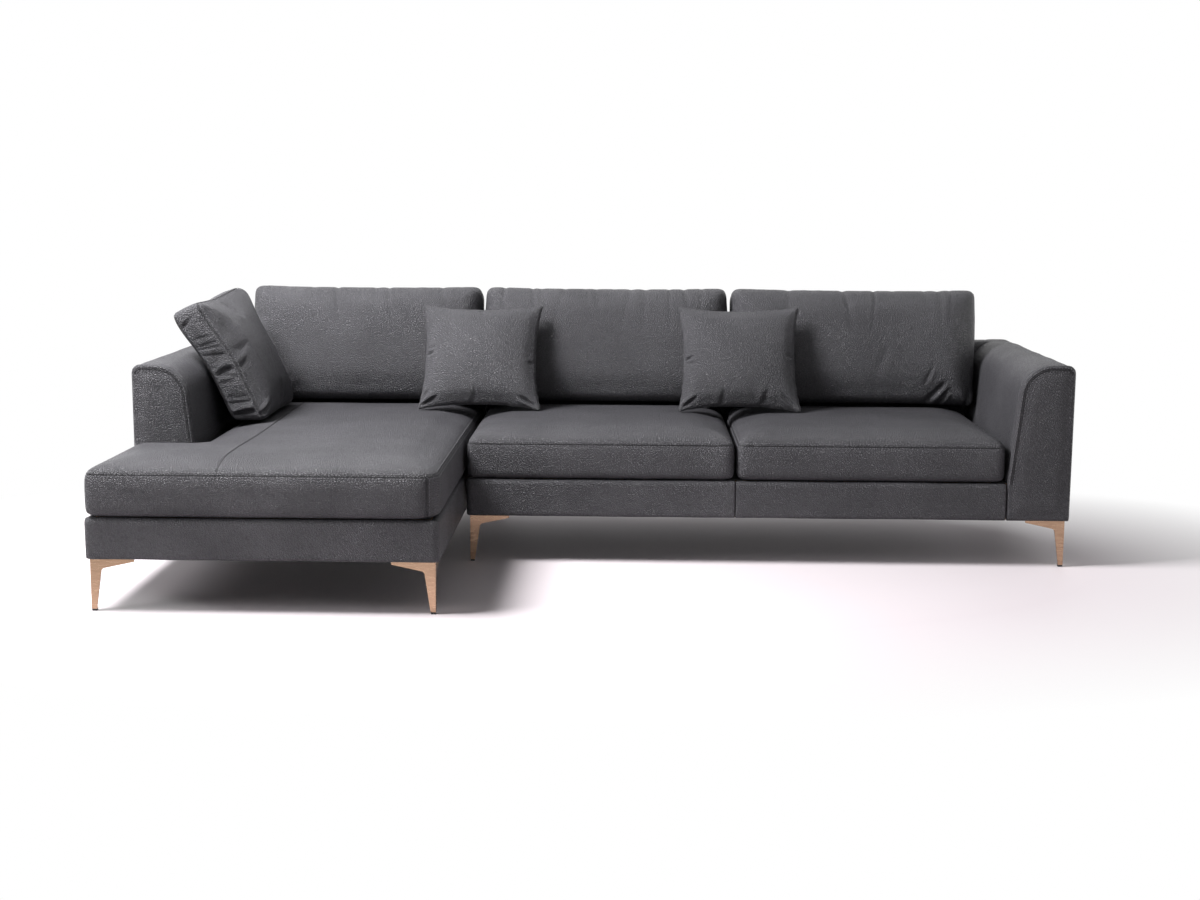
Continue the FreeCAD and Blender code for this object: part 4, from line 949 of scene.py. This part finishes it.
# %% Front panels
def panel(side):
    """The front panel of one arm with its welt and stitches."""
    low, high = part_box(side + "_arm_front_panel")
    way, outer = arm_place(side)
    section = SECTION if side == "left" else [(0.0, HEM_LEVEL), (ARM_WIDTH, HEM_LEVEL), *SECTION[1:]]
    corners = [(outer - way * across, low.y, up) for across, up in section]
    piece = slab(f"{side}_arm_panel_leather", corners, (0, high.y - low.y, 0))
    round_off(piece, lying(1, low.y), 0.006, 3)
    remesh(piece, 0.0055)
    spots = points(piece)
    inside = depth_inside(np.array(corners)[:, [0, 2]], spots[:, [0, 2]])
    belly = ramp(-spots[:, 1], -low.y - 0.008, -low.y) * ramp(inside, 0.012, 0.05)
    spots[:, 1] -= 0.004 * belly
    set_points(piece, spots)
    smooth(piece, 3)
    first_upper = 2 if side == "right" else 1
    edge = np.array(corners)[first_upper:]
    seam, rows = [], []
    skin = skin_of(piece)
    for draw_in, keep in ((0.013, seam), (0.007, rows), (0.019, rows)):
        spots = []
        for spot in walk(edge, 0.006, False):
            shift = arm_inward(spot, outer, way) * draw_in
            spots.append((spot[0] + shift[0], low.y - 0.05, spot[2] + shift[1]))
        keep.append((feel(skin, spots, (0, 1, 0)), False))
    press_seams(piece, seam, depth=0.002, width=0.004)
    dress(piece, hide, "frame")
    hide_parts(side + "_arm_front_panel")
    trim(f"{side}_arm_panel", seam, rows, "frame")
    print(piece.name, len(piece.data.polygons), "faces")


def arm_inward(spot, outer, way):
    """The direction from a point of the arm's edge into the panel, as across and up."""
    across = abs(spot[0] - outer)
    up = spot[2]
    if across < ARM_EDGE and up < ARM_TOP - ARM_EDGE:
        return np.array([-way, 0.0])
    if across < ARM_EDGE:
        hub = np.array([outer - way * ARM_EDGE, ARM_TOP - ARM_EDGE])
    else:
        hub = np.array([outer - way * HUB_ACROSS, HUB_LEVEL])
        if up < HUB_LEVEL + ARM_ROUND * math.sin(ARM_SLOPE):
            return np.array([way * math.cos(ARM_SLOPE), -math.sin(ARM_SLOPE)])
        if across < HUB_ACROSS:
            return np.array([0.0, -1.0])
    toward = hub - spot[[0, 2]]
    return toward / np.linalg.norm(toward)


panel("left")
panel("right")

# %% [markdown]
# ## Backs
# Each module has a low back behind its loose cushions: foam over a ladder frame, sloping in front and upright
# behind. From the rear it is the largest plain face of the sofa, so it has its own seams.

# %% Backs
BACK_FOOT, SKIRT_INNER = 0.617, 0.791
REAR_ROUND, FRONT_ROUND = 0.024, 0.034


def back_cover(module):
    """The padded back of one module."""
    low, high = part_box(module + "_back_cover")
    section = [(BACK_FOOT, DECK), (SKIRT_INNER, DECK), (SKIRT_INNER, HEM_LEVEL), (REAR, HEM_LEVEL)]
    section += arc((REAR - REAR_ROUND, ARM_TOP - REAR_ROUND), REAR_ROUND, 0, math.pi / 2, 6)
    lean = math.radians(BACK_LEAN)
    level = ARM_TOP - FRONT_ROUND
    hub_y = BACK_FOOT + (level - DECK) * math.tan(lean) + FRONT_ROUND / math.cos(lean)
    section += arc((hub_y, level), FRONT_ROUND, math.pi / 2, math.pi - lean, 6)
    piece = slab(module + "_back_leather", [(low.x, y, z) for y, z in section], (high.x - low.x, 0, 0))
    soften(piece, 0.011, seed=11 if module == "chaise" else 12)
    toward = (-0.010, 0.0025) if module == "chaise" else (-0.0025, 0.010)
    settle(piece, np.array(low) + (toward[0], 0, 0), np.array(high) + (toward[1], 0, 0))
    skin = skin_of(piece)
    lines, rows = [], []
    count = 2 if module == "sofa" else 1
    for k in range(1, count + 1):
        x = low.x + (high.x - low.x) * k / (count + 1)
        for shift, keep in ((0.0, lines), (-ROW_GAP, rows), (ROW_GAP, rows)):
            starts = [(x + shift, 0.9, z) for z in np.arange(HEM_LEVEL + 0.01, ARM_TOP - 0.02, 0.01)]
            keep.append((feel(skin, starts, (0, -1, 0)), False))
    press_seams(piece, lines)
    dress(piece, hide, "frame")
    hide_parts(module + "_back_cover", module + "_back_padding")
    trim(module + "_back", lines, rows, "frame")
    print(piece.name, len(piece.data.polygons), "faces")


back_cover("chaise")
back_cover("sofa")

# %% [markdown]
# ## Aprons
# The aprons wrap the base rails: thin foam under leather, rounded along the top, with a joint under the seam
# between the two seats.

# %% Aprons
def apron(name, rounded_corners, outer_side, overlap=((0, 0, 0), (0, 0, 0))):
    """One apron, cut as a plan outline, run upwards and rounded along its outer top edge."""
    low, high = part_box(name)
    plan = [(low.x, low.y), (high.x, low.y), (high.x, high.y), (low.x, high.y)]
    radii = [0.019 if k in rounded_corners else 0.0005 for k in range(4)]
    outline = rounded(plan, radii)
    piece = slab(name + "_leather", [(*spot, low.z) for spot in outline], (0, 0, high.z - low.z))
    outer = lying(*{"front": (1, low.y), "left": (0, low.x), "right": (0, high.x)}[outer_side],
                  0.02 if rounded_corners else 1e-4)
    for height, radius in ((high.z, 0.014), (low.z, 0.004)):
        level = lying(2, height)
        round_off(piece, lambda one, two: level(one, two) and outer(one, two), radius, 4)
    soften(piece, 0.006, amount=0.0004, seed=len(name), rounds=2)
    settle(piece, np.array(low) - np.array(overlap[0]), np.array(high) + np.array(overlap[1]))
    press_seams(piece, [])
    dress(piece, hide, "frame")
    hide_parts(name)


apron("chaise_front_apron", (0, 1), "front")
apron("chaise_left_apron", (), "left")
apron("chaise_right_apron", (), "right")
apron("sofa_front_apron_left", (0,), "front", ((0, 0, 0), (0.001, 0, 0)))
apron("sofa_front_apron_right", (), "front", ((0.001, 0, 0), (0, 0, 0)))
print("aprons made")

# %% [markdown]
# ## Metal, timber and cloth
# The legs, glides, bolts, timber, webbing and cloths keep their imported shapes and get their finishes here. The
# legs are steel with a satin rose-gold coat.

# %% Finishes of the frame
def simple_finish(name, light, dark, scale, rough, metal=0.0, bump=0.0, stretch_way=(1, 1, 1)):
    """Two tones mixed by noise that may be stretched along one direction."""
    made, tree, shader = finish(name)
    place = node(tree, "ShaderNodeTexCoord")
    turn = node(tree, "ShaderNodeMapping", {"Vector": place.outputs["Object"], "Scale": stretch_way})
    noise = node(tree, "ShaderNodeTexNoise", {"Vector": turn.outputs["Vector"], "Scale": scale, "Detail": 5})
    tone = stretch(tree, noise.outputs["Fac"], 0.3, 0.7, 0, 1)
    feed(shader, {"Base Color": blend_colours(tree, tone, dark, light), "Metallic": metal,
                  "Roughness": stretch(tree, noise.outputs["Fac"], 0.3, 0.7, rough - 0.05, rough + 0.05)})
    if bump:
        relief = node(tree, "ShaderNodeBump", {"Strength": 0.6, "Distance": bump,
                                               "Height": noise.outputs["Fac"]})
        feed(shader, {"Normal": relief.outputs["Normal"]})
    return made


BY_SLOT = {
    "rose_metal": simple_finish("rose_gold_satin", "b3957d", "a0836d", 30, 0.25,
                                metal=1.0, stretch_way=(1, 1, 8)),
    "glide_plastic": simple_finish("glide_black", "1c1c1d", "111112", 90, 0.55),
    "zinc_steel": simple_finish("zinc_steel", "b9bcbd", "8f9496", 120, 0.4, metal=1.0),
    "timber": simple_finish("frame_timber", "c9a577", "a57e50", 12, 0.7, bump=0.0002, stretch_way=(1, 1, 9)),
    "webbing": simple_finish("jute_webbing", "8a8073", "5e574d", 300, 0.9, bump=0.0004),
    "black_cloth": simple_finish("black_cloth", "2a2a2b", "161617", 500, 0.95, bump=0.0002),
    "foam": simple_finish("grey_foam", "9c9a94", "7f7d78", 200, 0.95, bump=0.0004),
    "leather": hide}


def slot_of(name):
    """The finish that a carried-over piece is made in."""
    for words, chosen in (
            (("leg_glides",), "glide_plastic"), (("leg_bolts", "hook"), "zinc_steel"),
            (("_leg_",), "rose_metal"), (("webbing",), "webbing"), (("cloth", "dust"), "black_cloth"),
            (("padding",), "foam"),
            (("rail", "block", "frame"), "timber")):
        if any(word in name for word in words):
            return chosen
    return "leather"


for name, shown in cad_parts.items():
    shown.data.materials.clear()
    shown.data.materials.append(BY_SLOT[slot_of(name)])
print("finishes given to", len(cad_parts), "packed pieces")

# %% [markdown]
# ## Studio
# A plain pale floor and a white world, with one large soft light from the upper left and a weak one from the
# right. A small low one on the left gives the pillows and the near arm their sheen. Two more stand low at the
# side and behind, so that those faces can be read too; the sofa itself keeps them off its front, and the rear
# one is left out of reflections, or it would whiten the arms' tops.

# %% Floor and lights
def seen_directly(tree):
    """One for the camera's own rays and for reflected ones, so that metal shows the same background."""
    ray = node(tree, "ShaderNodeLightPath")
    seen = reckon(tree, "ADD", ray.outputs["Is Camera Ray"], ray.outputs["Is Glossy Ray"], clamp=True)
    return reckon(tree, "ADD", seen, ray.outputs["Is Transmission Ray"], clamp=True)


clear_bench()
bpy.ops.mesh.primitive_plane_add(size=1, location=(0, 4, 0))
floor = bpy.context.object
floor.name = "studio_floor"
bpy.ops.transform.resize(value=(40, 40, 1))
bpy.ops.object.transform_apply(location=True, rotation=True, scale=True)
floor_finish, floor_tree, floor_shader = finish("pale_floor")
feed(floor_shader, {"Base Color": plain_colour("d0c8cc"), "Roughness": 0.55})
place = node(floor_tree, "ShaderNodeTexCoord")
squeeze = node(floor_tree, "ShaderNodeMapping", {"Vector": place.outputs["Object"], "Location": (0.0, 0.05, 0),
                                                 "Scale": (0.62, 1.0, 1)})
spread = node(floor_tree, "ShaderNodeVectorMath", {0: squeeze.outputs["Vector"]}, operation="LENGTH")
far_off = stretch(floor_tree, spread.outputs["Value"], 0.95, 1.7, 0.0, 1.0)
white = node(floor_tree, "ShaderNodeEmission")
both = node(floor_tree, "ShaderNodeMixShader", {
    0: reckon(floor_tree, "MULTIPLY", seen_directly(floor_tree), far_off),
    1: floor_shader.outputs[0], 2: white.outputs[0]})
feed(floor_tree.nodes["Material Output"], {"Surface": both.outputs[0]})
floor.data.materials.append(floor_finish)

world = bpy.data.worlds.new("studio_world")
bpy.context.scene.world = world
world.use_nodes = True
sky = world.node_tree
feed(sky.nodes["Background"], {"Strength": stretch(sky, seen_directly(sky), 0.0, 1.0, 0.14, 1.0),
                               "Color": (1, 1, 1, 1)})


def soft_light(name, spot, aim, size, power):
    """A square lamp aimed at a point."""
    lamp = bpy.data.lights.new(name, "AREA")
    lamp.size = size
    lamp.energy = power
    shown = bpy.data.objects.new(name, lamp)
    bpy.context.scene.collection.objects.link(shown)
    shown.location = spot
    shown.visible_camera = False
    shown.rotation_euler = (Vector(aim) - Vector(spot)).to_track_quat("-Z", "Y").to_euler()
    return shown


soft_light("key_light", (-2.3, -0.75, 3.4), (-0.3, 0.0, 0.4), 1.4, 418)
soft_light("left_light", (-3.6, -1.7, 1.7), (-0.3, 0.2, 0.6), 1.2, 45)
soft_light("fill_light", (3.4, -3.2, 2.2), (0.3, 0.2, 0.4), 2.6, 6)
soft_light("side_light", (4.6, 1.4, 0.9), (1.4, 0.5, 0.4), 1.5, 40)
soft_light("back_light", (0.4, 5.0, 1.8), (0.0, 0.8, 0.4), 3.0, 130).visible_glossy = False
